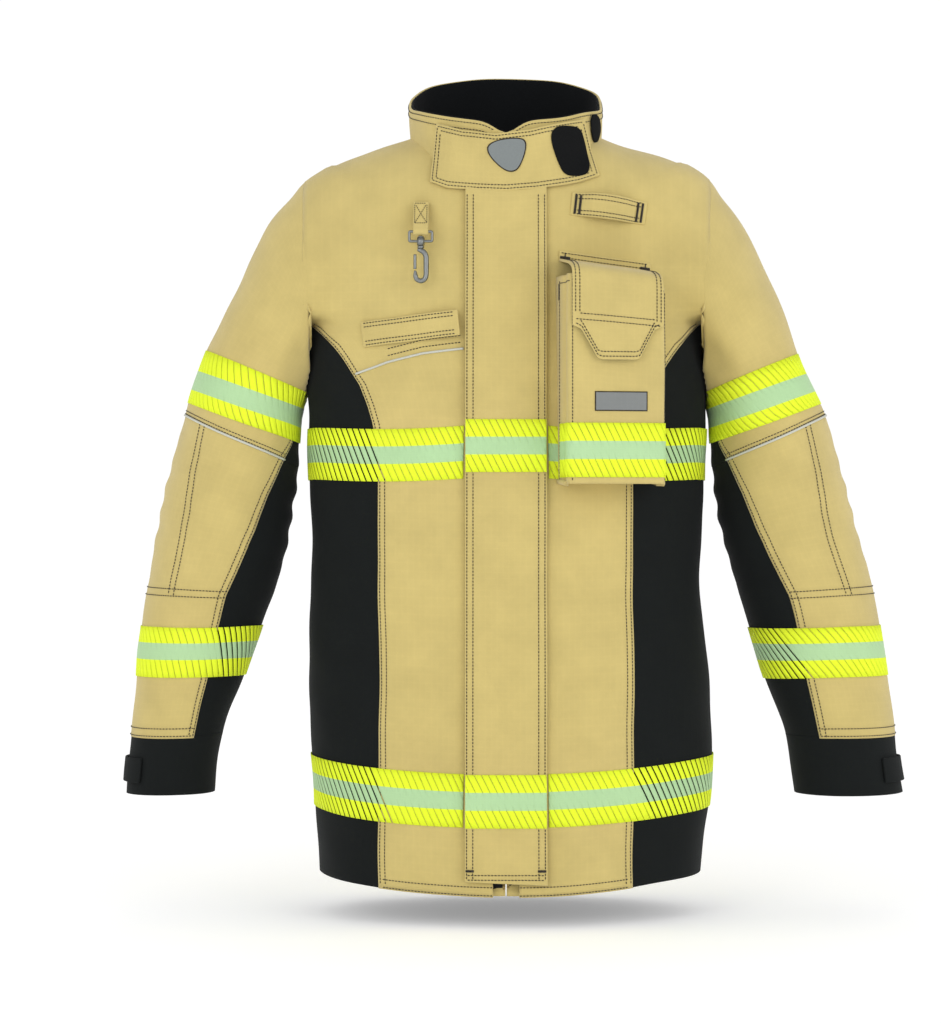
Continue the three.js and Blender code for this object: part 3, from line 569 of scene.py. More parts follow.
def edge_angle(x, z, back):
    """The angle at which the torso stands a distance x from the middle, in front or at the back."""
    a = np.interp(z, TORSO[:, 0], TORSO[:, 1])
    depth = np.interp(z, TORSO[:, 0], TORSO[:, 2 if back else 3])
    y = depth * np.maximum(1 - np.minimum(x / a, 1) ** ROUNDNESS, 0) ** (1 / ROUNDNESS)
    return np.arctan2(y if back else -y, x)


for name, side in SIDES.items():

    def side_place(u, v):
        z = hem_at(0.2) + (ARMPIT - hem_at(0.2)) * v
        x = seam_at(z)
        front, rear = edge_angle(x, z, False) - EDGE_OVERLAP, edge_angle(x, z, True) + EDGE_OVERLAP
        angle = front + (rear - front) * u
        z = z + (hem_at(x) - hem_at(0.2)) * (1 - v) * (2 * u - 1) ** 2
        p = round_body(angle, z)
        p[:, 0] *= side
        return laid(p, UNDER_TAN), outward(p, False)

    panel = cloth(f"side_{name}", 44, 130, side_place, LINED_BLACK, flat=(0.25, 0.63), edge=False)
    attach(panel, "coat_body")
    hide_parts(f"side_panel_{name}")

# Sleeves: each a shaped tube. Sections run down it from the armhole to the cuff, tilted as the bands and
# seams are. The outer part is tan, the underarm is black and lies just under the tan edges.
SECTIONS = [  # middle of the section, tilt of its outer end above level
    (-0.2165, 0.004, -0.105, 90), (-0.230, 0.004, -0.150, 64), (-0.247, 0.004, -0.195, 42),
    (-0.275, 0.005, -0.240, 22), (-0.292, 0.0055, -0.291, 20), (-0.298, 0.006, -0.313, 24.5),
    (-0.306, 0.006, -0.360, 17), (-0.317, 0.005, -0.420, 10), (-0.333, 0.000, -0.485, 2),
    (-0.343, -0.004, -0.530, 0), (-0.356, -0.011, -0.580, 0), (-0.367, -0.019, -0.642, 0),
    (-0.374, -0.028, -0.704, 0),
]
DOWN = flowing([(i, *row) for i, row in enumerate(SECTIONS)], 0)
ELBOW_SEAM, LOWER_SEAM, TAN_END, SLEEVE_END = 5.0, 8.05, 11.0, 12.0
TAN_SPREAD = np.array([  # section, and how far round to each side the tan reaches there
    (0, 180), (3.2, 180), (3.6, 166), (4, 153), (5, 141), (6, 129), (7, 119), (8, 112), (9, 113), (10, 118),
    (12, 117),
])
UNDERARM_OVERLAP = 0.07


def round_sleeve(down, turn, side):
    """The form at a section and an angle round a sleeve: 0 outside, a quarter turn in front, half inside. The
    inner side is kept clear of the body's wall."""
    middle = np.stack([np.interp(down, DOWN[:, 0], DOWN[:, k]) for k in (1, 2, 3)], -1)
    tilt = np.radians(np.interp(down, DOWN[:, 0], DOWN[:, 4]))
    out = np.stack([-np.cos(tilt), 0 * tilt, np.sin(tilt)], -1)
    direction = out * np.cos(turn)[:, None]
    direction[:, 1] -= np.sin(turn)
    p = seek(middle, direction, True, 0.16)
    p[:, 2] = np.where(np.cos(turn) < 0, np.maximum(p[:, 2], ARMPIT - 0.004 - 0.05 * down), p[:, 2])
    half = np.interp(p[:, 2], TORSO[:, 0], TORSO[:, 1])
    deep = np.interp(p[:, 2], TORSO[:, 0], TORSO[:, 3])
    wall = half * np.maximum(1 - (np.abs(p[:, 1]) / deep) ** ROUNDNESS, 0) ** (1 / ROUNDNESS) + 0.007
    p[:, 0] -= np.maximum(p[:, 0] + wall, 0) * smooth((-0.135 - p[:, 2]) / 0.03)
    p[:, 0] = np.minimum(p[:, 0], -0.2165 - 0.0005 * down)
    p[:, 0] *= -side
    if side > 0:
        p[:, 0] += 0.0060 * smooth((-0.40 - p[:, 2]) / 0.12)
    return p


def tan_turn(down):
    return np.radians(np.interp(down, TAN_SPREAD[:, 0], TAN_SPREAD[:, 1]))


def outer_part(down, u):
    return (2 * u - 1) * tan_turn(down)


def underarm(down, u):
    spread = tan_turn(down) - UNDERARM_OVERLAP
    return spread + 2 * u * (np.pi - spread)


def all_round(_, u):
    return (2 * u - 1) * np.pi


def sleeve_cloth(name, side, ends, grid, look, turn_at, lift, flat):
    """Cloth of a sleeve between two sections: turn_at(down, u) says how far round each point lies."""

    def place(u, v):
        down = ends[0] + (ends[1] - ends[0]) * (1 - v)
        p = round_sleeve(down, turn_at(down, u), side)
        tucked = 0.0008 * smooth(1 - down / 0.25)
        return laid(p, lift - tucked, True), outward(p, True)

    return cloth(name, *grid, place, look, flat=flat, edge=False)


def at_shoulder(piece):
    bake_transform(piece)


def at_elbow(piece):
    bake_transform(piece)


for name, side in SIDES.items():
    upper = sleeve_cloth(
        f"upper_sleeve_cloth_{name}", side, (0, ELBOW_SEAM), (96, 64), TAN, outer_part, SHELL, (0.45, 0.27)
    )
    at_shoulder(upper)
    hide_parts(f"shoulder_{name}", f"upper_sleeve_{name}")
    under = sleeve_cloth(
        f"underarm_cloth_{name}", side, (3.1, ELBOW_SEAM + 0.03), (30, 24), LINED_BLACK, underarm, UNDER_TAN,
        (0.15, 0.1),
    )
    at_shoulder(under)
    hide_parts(f"underarm_upper_{name}")
    lower = sleeve_cloth(
        f"forearm_cloth_{name}", side, (ELBOW_SEAM - 0.04, TAN_END), (72, 90), LINED_TAN, outer_part,
        SHELL - 0.0003, (0.3, 0.36),
    )
    at_elbow(lower)
    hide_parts(f"forearm_{name}")
    under = sleeve_cloth(
        f"lower_underarm_cloth_{name}", side, (ELBOW_SEAM - 0.01, TAN_END + 0.02), (36, 80), LINED_BLACK,
        underarm, SHELL - 0.001, (0.17, 0.36),
    )
    at_elbow(under)
    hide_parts(f"underarm_lower_{name}")
    cuff = sleeve_cloth(
        f"cuff_cloth_{name}", side, (TAN_END - 0.05, SLEEVE_END), (90, 22), LINED_BLACK, all_round,
        SHELL - 0.0009, (0.35, 0.07),
    )
    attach(cuff, f"{name}_forearm")
    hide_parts(f"cuff_{name}")


# Thermal liner: a black quilted layer that hangs inside the body from the neck to just above the hem, and
# stands a little inside the shell. It is quilted in diamonds.
QUILT, QUILT_DEEP = 0.032, 0.0012
LINER_FOOT, LINER_HIGH, LINER_INSIDE = -0.775, 0.675, 0.0065


def quilted(p):
    one_way, other_way = (p[:, 0] + p[:, 2]) / QUILT, (p[:, 0] - p[:, 2]) / QUILT
    return QUILT_DEEP * np.abs(np.sin(np.pi * one_way) * np.sin(np.pi * other_way))


def liner_place(u, v):
    angle = np.radians(-75 + 330 * u)
    p = round_body(angle, LINER_FOOT + LINER_HIGH * v)
    return laid(p, -LINER_INSIDE) + outward(p, False) * quilted(p)[:, None], outward(p, False)


liner = cloth("quilted_liner", 150, 110, liner_place, LINING, thick=0.0016, flat=(1.1, 0.68), edge=False)
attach(liner, "coat_body")
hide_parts("thermal_liner")


# Sleeve stitching: double rows round the elbow seam and the lower seam, along the edges of the black
# underarm, up the sleeve and round the cuff.
SLEEVE_RADIUS = 0.06
MIDDLE_SEAM_TURN = np.radians(63)


def ring_row(side, down, lift=ON_SHELL):
    """Rows round the tan part of a sleeve."""

    def place(t, row):
        level = down + row + 0 * t
        p = round_sleeve(level, outer_part(level, t), side)
        return laid(p, lift, True), outward(p, True)

    return place


def long_row(side, top, bottom, turn_at):
    """Rows down a sleeve, set in from the line that turn_at gives."""

    def place(t, row):
        down = top + (bottom - top) * t
        turn = turn_at(down) - row / SLEEVE_RADIUS * np.sign(turn_at(down))
        p = round_sleeve(down, turn, side)
        return laid(p, ON_SHELL, True), outward(p, True)

    return place


for name, side in SIDES.items():
    bm = bmesh.new()
    seam_rows(bm, ring_row(side, ELBOW_SEAM), (-0.06, -0.20), 120)
    for front in (-1, 1):
        seam_rows(bm, long_row(side, 3.6, ELBOW_SEAM, lambda d: front * tan_turn(d)), EDGE_ROWS, 60)
    stitching = finished(f"upper_sleeve_stitching_{name}", bm, THREAD)
    at_shoulder(stitching)
    bm = bmesh.new()
    seam_rows(bm, ring_row(side, LOWER_SEAM), (0.0, -0.13), 120)
    seam_rows(bm, ring_row(side, TAN_END), (-0.04, -0.17), 120)
    for front in (-1, 1):
        seam_rows(bm, long_row(side, ELBOW_SEAM, TAN_END, lambda d: front * tan_turn(d)), EDGE_ROWS, 160)
    seam_rows(bm, long_row(side, ELBOW_SEAM, LOWER_SEAM, lambda d: MIDDLE_SEAM_TURN + 0 * d), (0, 0.006), 120)
    stitching = finished(f"forearm_stitching_{name}", bm, THREAD)
    at_elbow(stitching)


# Reflective trim: fluorescent lime tape with a retroreflective silver stripe down its middle, cut in
# slanted segments so that it bends with the cloth. One band goes round the chest and one round the hem,
# with separate lengths on the storm flap, the pocket and the sleeves.
LIME = cloth_look(
    "lime_fluorescent_tape", srgb(230, 248, 52), uneven=0.03, rough=0.7, bloom=0.0, thread=0.0006, rip=0.004
)
SILVER = cloth_look(
    "silver_reflective_stripe", srgb(176, 211, 160), uneven=0.03, rough=0.45, bloom=0.0, thread=0.0005,
    rip=0.003,
)
TRIM_HIGH, TRIM_PITCH, TRIM_SLANT = 0.057, 0.0076, 0.5
TRIM_RIB, TRIM_FINE_RIB = 0.0058, 0.0070  # width of a segment over black and over tan
TRIM_RISE, TRIM_THICK = 0.0010, 0.0006


def trim_band(name, length, place, on_black=None, slant=TRIM_SLANT, high=TRIM_HIGH):
    """Segmented tape: place(along, up) gives the cloth under each point of it, and the way out of it. The
    slits are wide where on_black(along) says so, and fine elsewhere with the silver stripe left whole."""
    ribs = int((length + abs(slant) * high) / TRIM_PITCH) + 2
    columns = 4 * ribs - 1
    bm = bmesh.new()
    bmesh.ops.create_grid(bm, x_segments=columns, y_segments=6, size=0.5)
    weave = bm.loops.layers.uv.new("weave")
    gaps = []
    for face in bm.faces:
        middle = face.calc_center_median()
        column = int((middle.x + 0.5) * columns)
        face.material_index = 1 if 2 <= int((middle.y + 0.5) * 6) <= 3 else 0
        wide = on_black is not None and bool(on_black((column // 4) * TRIM_PITCH - abs(slant) * high / 2))
        if column % 4 == 3 and (wide or face.material_index == 0):
            gaps.append(face)
    bmesh.ops.delete(bm, geom=gaps, context="FACES")
    at = np.rint([(v.co.x + 0.5) * columns for v in bm.verts])
    up = np.array([v.co.y for v in bm.verts]) * high
    rib_start = (at // 4) * TRIM_PITCH - abs(slant) * high / 2
    over_black = on_black(rib_start) if on_black is not None else np.zeros(len(at), bool)
    along = rib_start + (at % 4) * np.where(over_black, TRIM_RIB, TRIM_FINE_RIB) / 3
    along = np.clip(along - slant * up, 0, length)
    bm.verts.index_update()
    lay_out(bm, *place(along, up))
    for face in bm.faces:
        for loop in face.loops:
            loop[weave].uv = (along[loop.vert.index], up[loop.vert.index])
    bmesh.ops.remove_doubles(bm, verts=bm.verts, dist=0.00002)
    bmesh.ops.dissolve_degenerate(bm, edges=bm.edges, dist=0.00002)
    return finished(name, bm, [LIME, SILVER], TRIM_THICK)


def body_band(name, middle, dip, rise, node):
    """A band round the torso from one edge of the storm flap to the other. It sags by dip across each half of
    the chest and climbs by rise to the sides."""
    angle = np.radians(np.linspace(-90, 270, 721))
    p = round_body(angle, np.full(721, middle))
    round_length = run_along(p)
    start = 0.0455

    def place(along, up):
        turn = np.interp(along + start, round_length, angle)
        outer = np.abs(np.interp(along + start, round_length, p[:, 0])) / HALF_CHEST
        front = (turn < 0) | (turn > np.pi)
        z = middle + up + rise * outer**2 - dip * np.sin(np.pi * np.clip(outer, 0, 1)) * front
        q = round_body(turn, z)
        return laid(q, SHELL + TRIM_RISE), outward(q, False)

    def on_black(along):
        return np.abs(np.interp(along + start, round_length, p[:, 0])) > seam_at(middle)

    band = trim_band(name, round_length[-1] - 2 * start, place, on_black)
    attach(band, "coat_body")
    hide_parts(node)


CHEST_BAND_Z, HEM_BAND_Z = -0.3255, -0.7045
body_band("chest_band", CHEST_BAND_Z, 0.006, -0.004, "chest_trim")
body_band("hem_band", HEM_BAND_Z, 0.0, 0.012, "hem_trim")


def sleeve_band(name, side, top, bottom, node, length):
    def place(along, up):
        turn = 2 * np.pi * along / length - np.pi
        down = (top + bottom) / 2 - up / TRIM_HIGH * (bottom - top)
        q = round_sleeve(down, turn, side)
        return laid(q, SHELL + TRIM_RISE, True), outward(q, True)

    def on_black(along):
        return np.abs(2 * np.pi * along / length - np.pi) > tan_turn((top + bottom) / 2)

    band = trim_band(name, length, place, on_black, slant=-side * TRIM_SLANT)
    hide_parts(node)
    return band


for name, side in SIDES.items():
    band = sleeve_band(f"upper_sleeve_band_{name}", side, 2.97, 4.12, f"upper_trim_{name}", 0.448)
    at_shoulder(band)
    band = sleeve_band(f"forearm_band_{name}", side, 8.80, 9.92, f"lower_trim_{name}", 0.405)
    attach(band, f"{name}_forearm")


# Piping: a thin silver cord sewn into the seam above the chest and into the seam at each elbow. Two rows of
# stitching run beside the one on the chest.
def roll(bm, path, out, radius, sides=8, flatten=1.0):
    """Adds a round bar along a path: a grid rolled up around it."""
    grid = bmesh.ops.create_grid(bm, x_segments=len(path) - 1, y_segments=sides, size=0.5)
    radius = np.broadcast_to(radius, len(path))
    ahead = np.gradient(path, axis=0)
    ahead /= np.linalg.norm(ahead, axis=1)[:, None]
    across = np.cross(out, ahead)
    across /= np.linalg.norm(across, axis=1)[:, None]
    rise = np.cross(ahead, across)
    for vert in grid["verts"]:
        i = int(round((vert.co.x + 0.5) * (len(path) - 1)))
        turn = 2 * np.pi * (vert.co.y + 0.5)
        vert.co = path[i] + radius[i] * (np.cos(turn) * across[i] + flatten * np.sin(turn) * rise[i])
    bmesh.ops.remove_doubles(bm, verts=bm.verts, dist=0.00001)
    ends = [edge for edge in bm.edges if edge.is_boundary]
    bmesh.ops.holes_fill(bm, edges=ends, sides=sides + 2)
    bmesh.ops.recalc_face_normals(bm, faces=bm.faces)


def rolled(name, path, out, radius, look, sides=8, flatten=1.0):
    """A round cord along a path, as a piece of its own."""
    bm = bmesh.new()
    roll(bm, path, out, radius, sides, flatten)
    return finished(name, bm, look)


PIPING = cloth_look("silver_piping", srgb(196, 197, 186), uneven=0.05, rough=0.4, bloom=0, follow="Object")
PIPING_RADIUS = 0.0013
PIPING_LINE = np.array([(-0.163, -0.2435), (-0.128, -0.2315), (-0.09, -0.2225), (-0.0455, -0.2175)])


def chest_row(points, lift, count):
    """A path on the chest through points seen from the front."""
    length = run_along(points)
    at = np.linspace(0, 1, count) * length[-1]
    p = on_chest(np.interp(at, length, points[:, 0]), np.interp(at, length, points[:, 1]))
    return laid(p, lift), outward(p, False)


cord = rolled("chest_piping_cord", *chest_row(PIPING_LINE, SHELL + 0.0008, 70), PIPING_RADIUS, PIPING)
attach(cord, "coat_body")
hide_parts("chest_piping")
bm = bmesh.new()
for drop in (0.007, 0.0145):
    stitched(bm, *chest_row(PIPING_LINE[1:] + (0, drop), ON_SHELL, 80))
stitching = finished("chest_seam_stitching", bm, THREAD)
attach(stitching, "coat_body")
for name, side in SIDES.items():
    path, out = ring_row(side, ELBOW_SEAM, SHELL + 0.0006)(np.linspace(0, 1, 90), 0)
    cord = rolled(f"elbow_piping_cord_{name}", path, out, PIPING_RADIUS, PIPING)
    at_shoulder(cord)
    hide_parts(f"elbow_piping_{name}")


# Collar: a stiff tan band that stands up round the neck, lined in black, dipping at the throat. It leans with
# the neck, lower in front, and two rows of stitching follow each of its edges.
COLLAR_FOOT, COLLAR_HIGH, COLLAR_LEAN = -0.011, 0.077, 0.43
COLLAR_MIDDLE, COLLAR_FLARE, COLLAR_DEEPER = NECK_MIDDLE, 0.007, 0.004


def collar_size(share):
    """Half width and depth of the collar at a share of its height."""
    return NECK_HALF + COLLAR_FLARE * share, NECK_DEEP + COLLAR_DEEPER * share


def collar_ring(turn, share, lift):
    """Points of the collar: turn is 0 at the throat, share runs from its lower to its upper edge."""
    half, deep = collar_size(share)
    c, s = np.cos(turn), np.sin(turn)
    x = (half + lift) * np.sign(s) * np.abs(s) ** (2 / ROUNDNESS)
    y = COLLAR_MIDDLE - (deep + lift) * np.sign(c) * np.abs(c) ** (2 / ROUNDNESS)
    return np.stack([x, y, COLLAR_FOOT + COLLAR_HIGH * share + COLLAR_LEAN * y], -1)


def collar_sheet(lift, puff):
    def place(u, v):
        turn = 0.006 + u * (2 * np.pi - 0.012)
        edge = collar_ring(turn, 1 + 0 * v, lift)
        low = collar_ring(turn, 0 * v, lift)
        top = edge[:, 2] + 0.0105 * smooth((-edge[:, 1] - 0.02) / 0.07)
        top -= 0.0125 * np.exp(-((edge[:, 0] / 0.017) ** 2)) * (edge[:, 1] < 0)
        share = v * (top - low[:, 2]) / (edge[:, 2] - low[:, 2])
        swell = puff * np.sin(np.pi * np.clip(v, 0, 1)) ** 0.7 + 0.0008 * np.sin(9 * turn + 3 * v)
        p = collar_ring(turn, share, lift + swell)
        return p, p * (1, 1, 0) - (0, COLLAR_MIDDLE, 0)

    return place


COLLAR_FLAT, COLLAR_PUFF = (0.62, 0.08), 0.0018
collar = cloth("collar_band", 140, 18, collar_sheet(0.0026, COLLAR_PUFF), TAN, thick=0.0026, flat=COLLAR_FLAT)
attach(collar, "coat_body")
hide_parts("collar")
lining = cloth(
    "collar_inside", 140, 18, collar_sheet(-0.0006, -0.001), LINING, thick=0.0018, flat=COLLAR_FLAT
)
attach(lining, "coat_body")
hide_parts("collar_lining")
bm = bmesh.new()
u = np.linspace(0.01, 0.99, 300)
for inset in (0.04, 0.12):
    for share in (1 - inset, inset):
        stitched(bm, *collar_sheet(0.0030, COLLAR_PUFF)(u, 0 * u + share))
stitching = finished("collar_stitching", bm, THREAD)
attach(stitching, "coat_body")


def in_front_of_collar(x, z, lift):
    """The front of the collar behind a point seen from the front, raised by a lift."""
    y = np.full(np.shape(x), -0.10)
    for _ in range(12):
        share = np.clip((z - COLLAR_FOOT - COLLAR_LEAN * y) / COLLAR_HIGH, -0.5, 1.3)
        half, deep = collar_size(share)
        level = np.minimum(np.abs(x) / half, 0.995)
        y = COLLAR_MIDDLE - deep * (1 - level**ROUNDNESS) ** (1 / ROUNDNESS)
    gx = np.sign(x) * level ** (ROUNDNESS - 1) / half
    gy = -(((COLLAR_MIDDLE - y) / deep) ** (ROUNDNESS - 1)) / deep
    out = np.stack([gx, gy, -0.08 * np.hypot(gx, gy)], -1)
    out /= np.linalg.norm(out, axis=1)[:, None]
    return np.stack([x, y, z], -1) + out * np.asarray(lift)[..., None], out


# Throat strap: shaped tan strap sewn to the collar at the wearer's right, closed over the throat with
# hook-and-loop tape. A blank badge and a fuzzy loop patch are sewn on it, and another on the collar.
STRAP_LOW = np.array([
    (-0.080, -0.033), (-0.058, -0.0415), (-0.028, -0.0445), (0.001, -0.0458), (0.030, -0.0432),
    (0.059, -0.0378), (0.0735, -0.0345), (0.0952, -0.0260),
])
STRAP_TOP = np.array([
    (-0.076, 0.031), (-0.045, 0.0205), (-0.028, 0.0180), (-0.011, 0.0155), (0.024, 0.0200), (0.0415, 0.0250),
    (0.081, 0.0350), (0.090, 0.0380),
])
STRAP_EASE = 0.002
STRAP_LENGTH, STRAP_HIGH = 0.172, 0.066


def on_strap(x, share, lift):
    """Points of the strap: it lies on the collar and, lower down, just clear of the chest."""
    low, top = np.interp(x, *STRAP_LOW.T), np.interp(x, *STRAP_TOP.T)
    z = low + (top - low) * share
    rise = 0.0070 + 0.0035 * smooth((x + 0.08) / 0.03)
    rise = rise + 0.0008 * np.sin(60 * x + 20 * z) + lift
    p, out = in_front_of_collar(x, z, rise)
    over_body = on_chest(p[:, 0], p[:, 2])[:, 1] - 0.0075 - lift
    p[:, 1] -= STRAP_EASE * np.logaddexp(0, (p[:, 1] - over_body) / STRAP_EASE)
    return p, out


def strap_place(u, v):
    sewn_end, free_end = -0.0770 + 0.0055 * v, 0.0930 - 0.0140 * v
    return on_strap(sewn_end + (free_end - sewn_end) * u, v, 0)


def at_throat(piece):
    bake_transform(piece)


strap = cloth("throat_strap_cloth", 60, 24, strap_place, TAN, thick=0.0030, flat=(0.19, 0.07))
at_throat(strap)
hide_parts("throat_strap")
bm = bmesh.new()
t = np.linspace(0, 1, 120)
for inset in (0.0025, 0.0065):
    across, up = inset / STRAP_LENGTH, inset / STRAP_HIGH
    to_side, to_top = across + (1 - 2 * across) * t, up + (1 - 2 * up) * t
    for u, v in ((to_side, up), (to_side, 1 - up), (across, to_top), (1 - across, to_top)):
        path, out = strap_place(u + 0 * t, v + 0 * t)
        stitched(bm, path + out * 0.0004, out)
stitching = finished("throat_strap_stitching", bm, THREAD)
at_throat(stitching)


def patch(name, outline, look, lay, thick):
    """A flat patch with a curved outline: a fan of rings closed at its middle, the outermost its border."""
    corner = np.array(outline, float)
    for _ in range(2):
        after = np.roll(corner, -1, axis=0)
        corner = np.stack([0.75 * corner + 0.25 * after, 0.25 * corner + 0.75 * after], 1).reshape(-1, 2)
    corner = np.vstack([corner, corner[:1]])
    length = run_along(corner)
    middle = np.mean(outline, axis=0)

    def place(u, v):
        at = (u % 1) * length[-1]
        x = middle[0] + (np.interp(at, length, corner[:, 0]) - middle[0]) * v
        z = middle[1] + (np.interp(at, length, corner[:, 1]) - middle[1]) * v
        return lay(x, z)

    border = (lambda u, v: int(v > 0.93)) if isinstance(look, list) else None
    return cloth(name, 84, 15, place, look, thick=thick, flat=(0.1, 0.02), sides=border)


def grained_look(name, colour, rough, worn, grain=350, relief=0.15, metal=0):
    """A look without weave: cloudy in colour and roughness, with a fine grain."""
    look = bpy.data.materials.new(name)
    look.use_nodes = True
    nodes, links = look.node_tree.nodes, look.node_tree.links
    shader = nodes["Principled BSDF"]
    shader.inputs["Metallic"].default_value = metal
    shader.inputs["Specular IOR Level"].default_value = 0.5 if metal else 0.1
    spot = nodes.new("ShaderNodeTexCoord")
    cloud = nodes.new("ShaderNodeTexNoise")
    cloud.inputs["Scale"].default_value = grain
    cloud.inputs["Detail"].default_value = 5
    links.new(spot.outputs["Object"], cloud.inputs["Vector"])
    shade = nodes.new("ShaderNodeValToRGB")
    shade.color_ramp.elements[0].color = (*[c * worn for c in colour[:3]], 1)
    shade.color_ramp.elements[1].color = colour
    links.new(cloud.outputs["Fac"], shade.inputs["Fac"])
    links.new(shade.outputs["Color"], shader.inputs["Base Color"])
    gloss = nodes.new("ShaderNodeMapRange")
    gloss.inputs["To Min"].default_value = rough
    gloss.inputs["To Max"].default_value = rough + 0.2
    links.new(cloud.outputs["Fac"], gloss.inputs["Value"])
    links.new(gloss.outputs["Result"], shader.inputs["Roughness"])
    raised(look, cloud.outputs["Fac"], relief)
    return look


FUZZ = grained_look("fuzzy_loop_tape", srgb(25, 26, 27), 0.8, 0.3, grain=700, relief=1.0)
BADGE = grained_look("grey_badge_cloth", srgb(128, 134, 134), 0.5, 0.85, grain=500)
LOOP_OUTLINE = [
    (0.0445, 0.0160), (0.0495, 0.0235), (0.0561, 0.0258), (0.0691, 0.0262), (0.0750, 0.0230),
    (0.0795, 0.0044), (0.0825, -0.0155), (0.0805, -0.0240), (0.0735, -0.0275), (0.0604, -0.0278),
    (0.0545, -0.0217), (0.0465, 0.0015),
]
BADGE_OUTLINE = [
    (-0.0205, -0.0010), (-0.0170, 0.0055), (-0.0050, 0.0100), (0.0150, 0.0115), (0.0210, 0.0075),
    (0.0200, -0.0050), (0.0135, -0.0225), (0.0060, -0.0265), (-0.0030, -0.0235), (-0.0150, -0.0120),
]


def on_strap_face(x, z, lift):
    """The strap behind a point seen from the front."""
    low, top = np.interp(x, *STRAP_LOW.T), np.interp(x, *STRAP_TOP.T)
    return on_strap(x, (z - low) / (top - low), lift)


for name, outline, look, node, slot, rise in (
    ("throat_loop_patch", LOOP_OUTLINE, FUZZ, "strap_loop_patch", "hook_and_loop", 0.0020),
    ("blank_badge", BADGE_OUTLINE, [BADGE, THREAD], "strap_badge", "grey_badge", 0.0012),
):
    sewn = patch(name, outline, look, lambda x, z: on_strap_face(x, z, rise), rise)
    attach(sewn, "throat_closure")
    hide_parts(node)
COLLAR_PATCH = [(0.088, 0.042), (0.097, 0.044), (0.100, 0.030), (0.096, 0.013), (0.090, 0.013)]
sewn = patch(
    "collar_loop_tape", COLLAR_PATCH, FUZZ, lambda x, z: in_front_of_collar(x, z, 0.0062 + 0 * x), 0.0015
)
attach(sewn, "coat_body")
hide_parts("collar_loop_patch")


# Storm flap: a thick folded tan band over the zip, sewn down at the wearer's right and held at its free
# edge with hook-and-loop tape. Two rows of stitching run down each edge, with lengths of trim across it.
FLAP_HALF, FLAP_LIFT, FLAP_THICK = 0.0435, 0.0098, 0.0036
FLAP_LOW, FLAP_ROWS_TOP = -0.7905, -0.0495


def on_flap(x, z, lift=0.0):
    p = on_chest(x, z)
    free = smooth((x - 0.020) / 0.0235)
    wave = 0.0012 * free * np.sin(31 * z + 0.6) + 0.0006 * np.sin(17 * z) * (1 - free)
    return laid(p, FLAP_LIFT + lift) + outward(p, False) * wave[:, None], outward(p, False)


def flap_place(u, v):
    x = FLAP_HALF * (2 * u - 1)
    low, top = FLAP_LOW - 0.003 * u, np.interp(x, *STRAP_LOW.T) - 0.0010
    return on_flap(x, low + (top - low) * v)


flap = cloth("storm_flap_cloth", 24, 190, flap_place, TAN, thick=FLAP_THICK, flat=(0.09, 0.74))
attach(flap, "front_flap")
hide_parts("storm_flap")
bm = bmesh.new()
z = np.linspace(FLAP_LOW + 0.003, FLAP_ROWS_TOP, 200)
for x in (-0.0415, -0.0350, 0.0345, 0.0412):
    stitched(bm, *on_flap(x + 0 * z, z, 0.0004))
x = np.linspace(-0.041, 0.041, 30)
for rise in (0.0025, 0.0075):
    stitched(bm, *on_flap(x, FLAP_LOW + rise + 0 * x, 0.0004))
for x in (-0.038, 0.038):
    across = np.linspace(x - 0.0045, x + 0.0045, 12)
    stitched(bm, *on_flap(across, FLAP_LOW + 0.012 + 0 * across, 0.0006), TACK_STEP, TACK)
stitching = finished("storm_flap_stitching", bm, THREAD)
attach(stitching, "front_flap")
for name, middle in (("chest", CHEST_BAND_Z + 0.0025), ("hem", HEM_BAND_Z)):

    def across_flap(along, up):
        return on_flap(along - 0.0430, middle + up, 0.0011)

    band = trim_band(f"{name}_band_on_flap", 0.0860, across_flap)
    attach(band, "front_flap")
    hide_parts(f"{name}_trim_flap")


# Zip under the storm flap: black woven tapes with brass teeth clamped on their edges, a brass slider with a
# pull, and tan facings behind. Hook-and-loop tapes down the front close the flap over it.
STEEL = grained_look("plated_steel", srgb(140, 143, 142), 0.28, 0.7, metal=1)
BRASS = grained_look("antique_brass", srgb(150, 124, 78), 0.35, 0.6, metal=1)
TAPE = cloth_look("black_woven_tape", srgb(26, 28, 29), uneven=0.15, thread=0.0010, relief=0.6, follow="Object")


ZIP_FINISHES = {
    "zip_tape_right": TAPE, "zip_tape_left": TAPE, "front_loop_tape": FUZZ, "flap_hook_tape": FUZZ,
    "zip_slider": BRASS, "zip_pull": BRASS,
}
for node, look in ZIP_FINISHES.items():
    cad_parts[node].data.materials.clear()
    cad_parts[node].data.materials.append(look)
FACING_WIDE, FACING_HIGH = 0.030, 0.750
for name, side in SIDES.items():

    def facing_place(u, v):
        p = on_chest(side * (0.0008 + FACING_WIDE * u), HEM_FRONT + 0.001 + FACING_HIGH * v)
        return laid(p, -0.0050), outward(p, False)

    facing = cloth(
        f"zip_facing_{name}", 6, 150, facing_place, LINED_TAN, thick=0.0010, flat=(FACING_WIDE, FACING_HIGH),
        edge=False,
    )
    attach(facing, "coat_body")
TOOTH_PITCH, TOOTH_BEHIND = 0.0030, 0.0041
TOOTH_SIZE = Matrix.Diagonal((0.0024, 0.0026, 0.0017, 1))
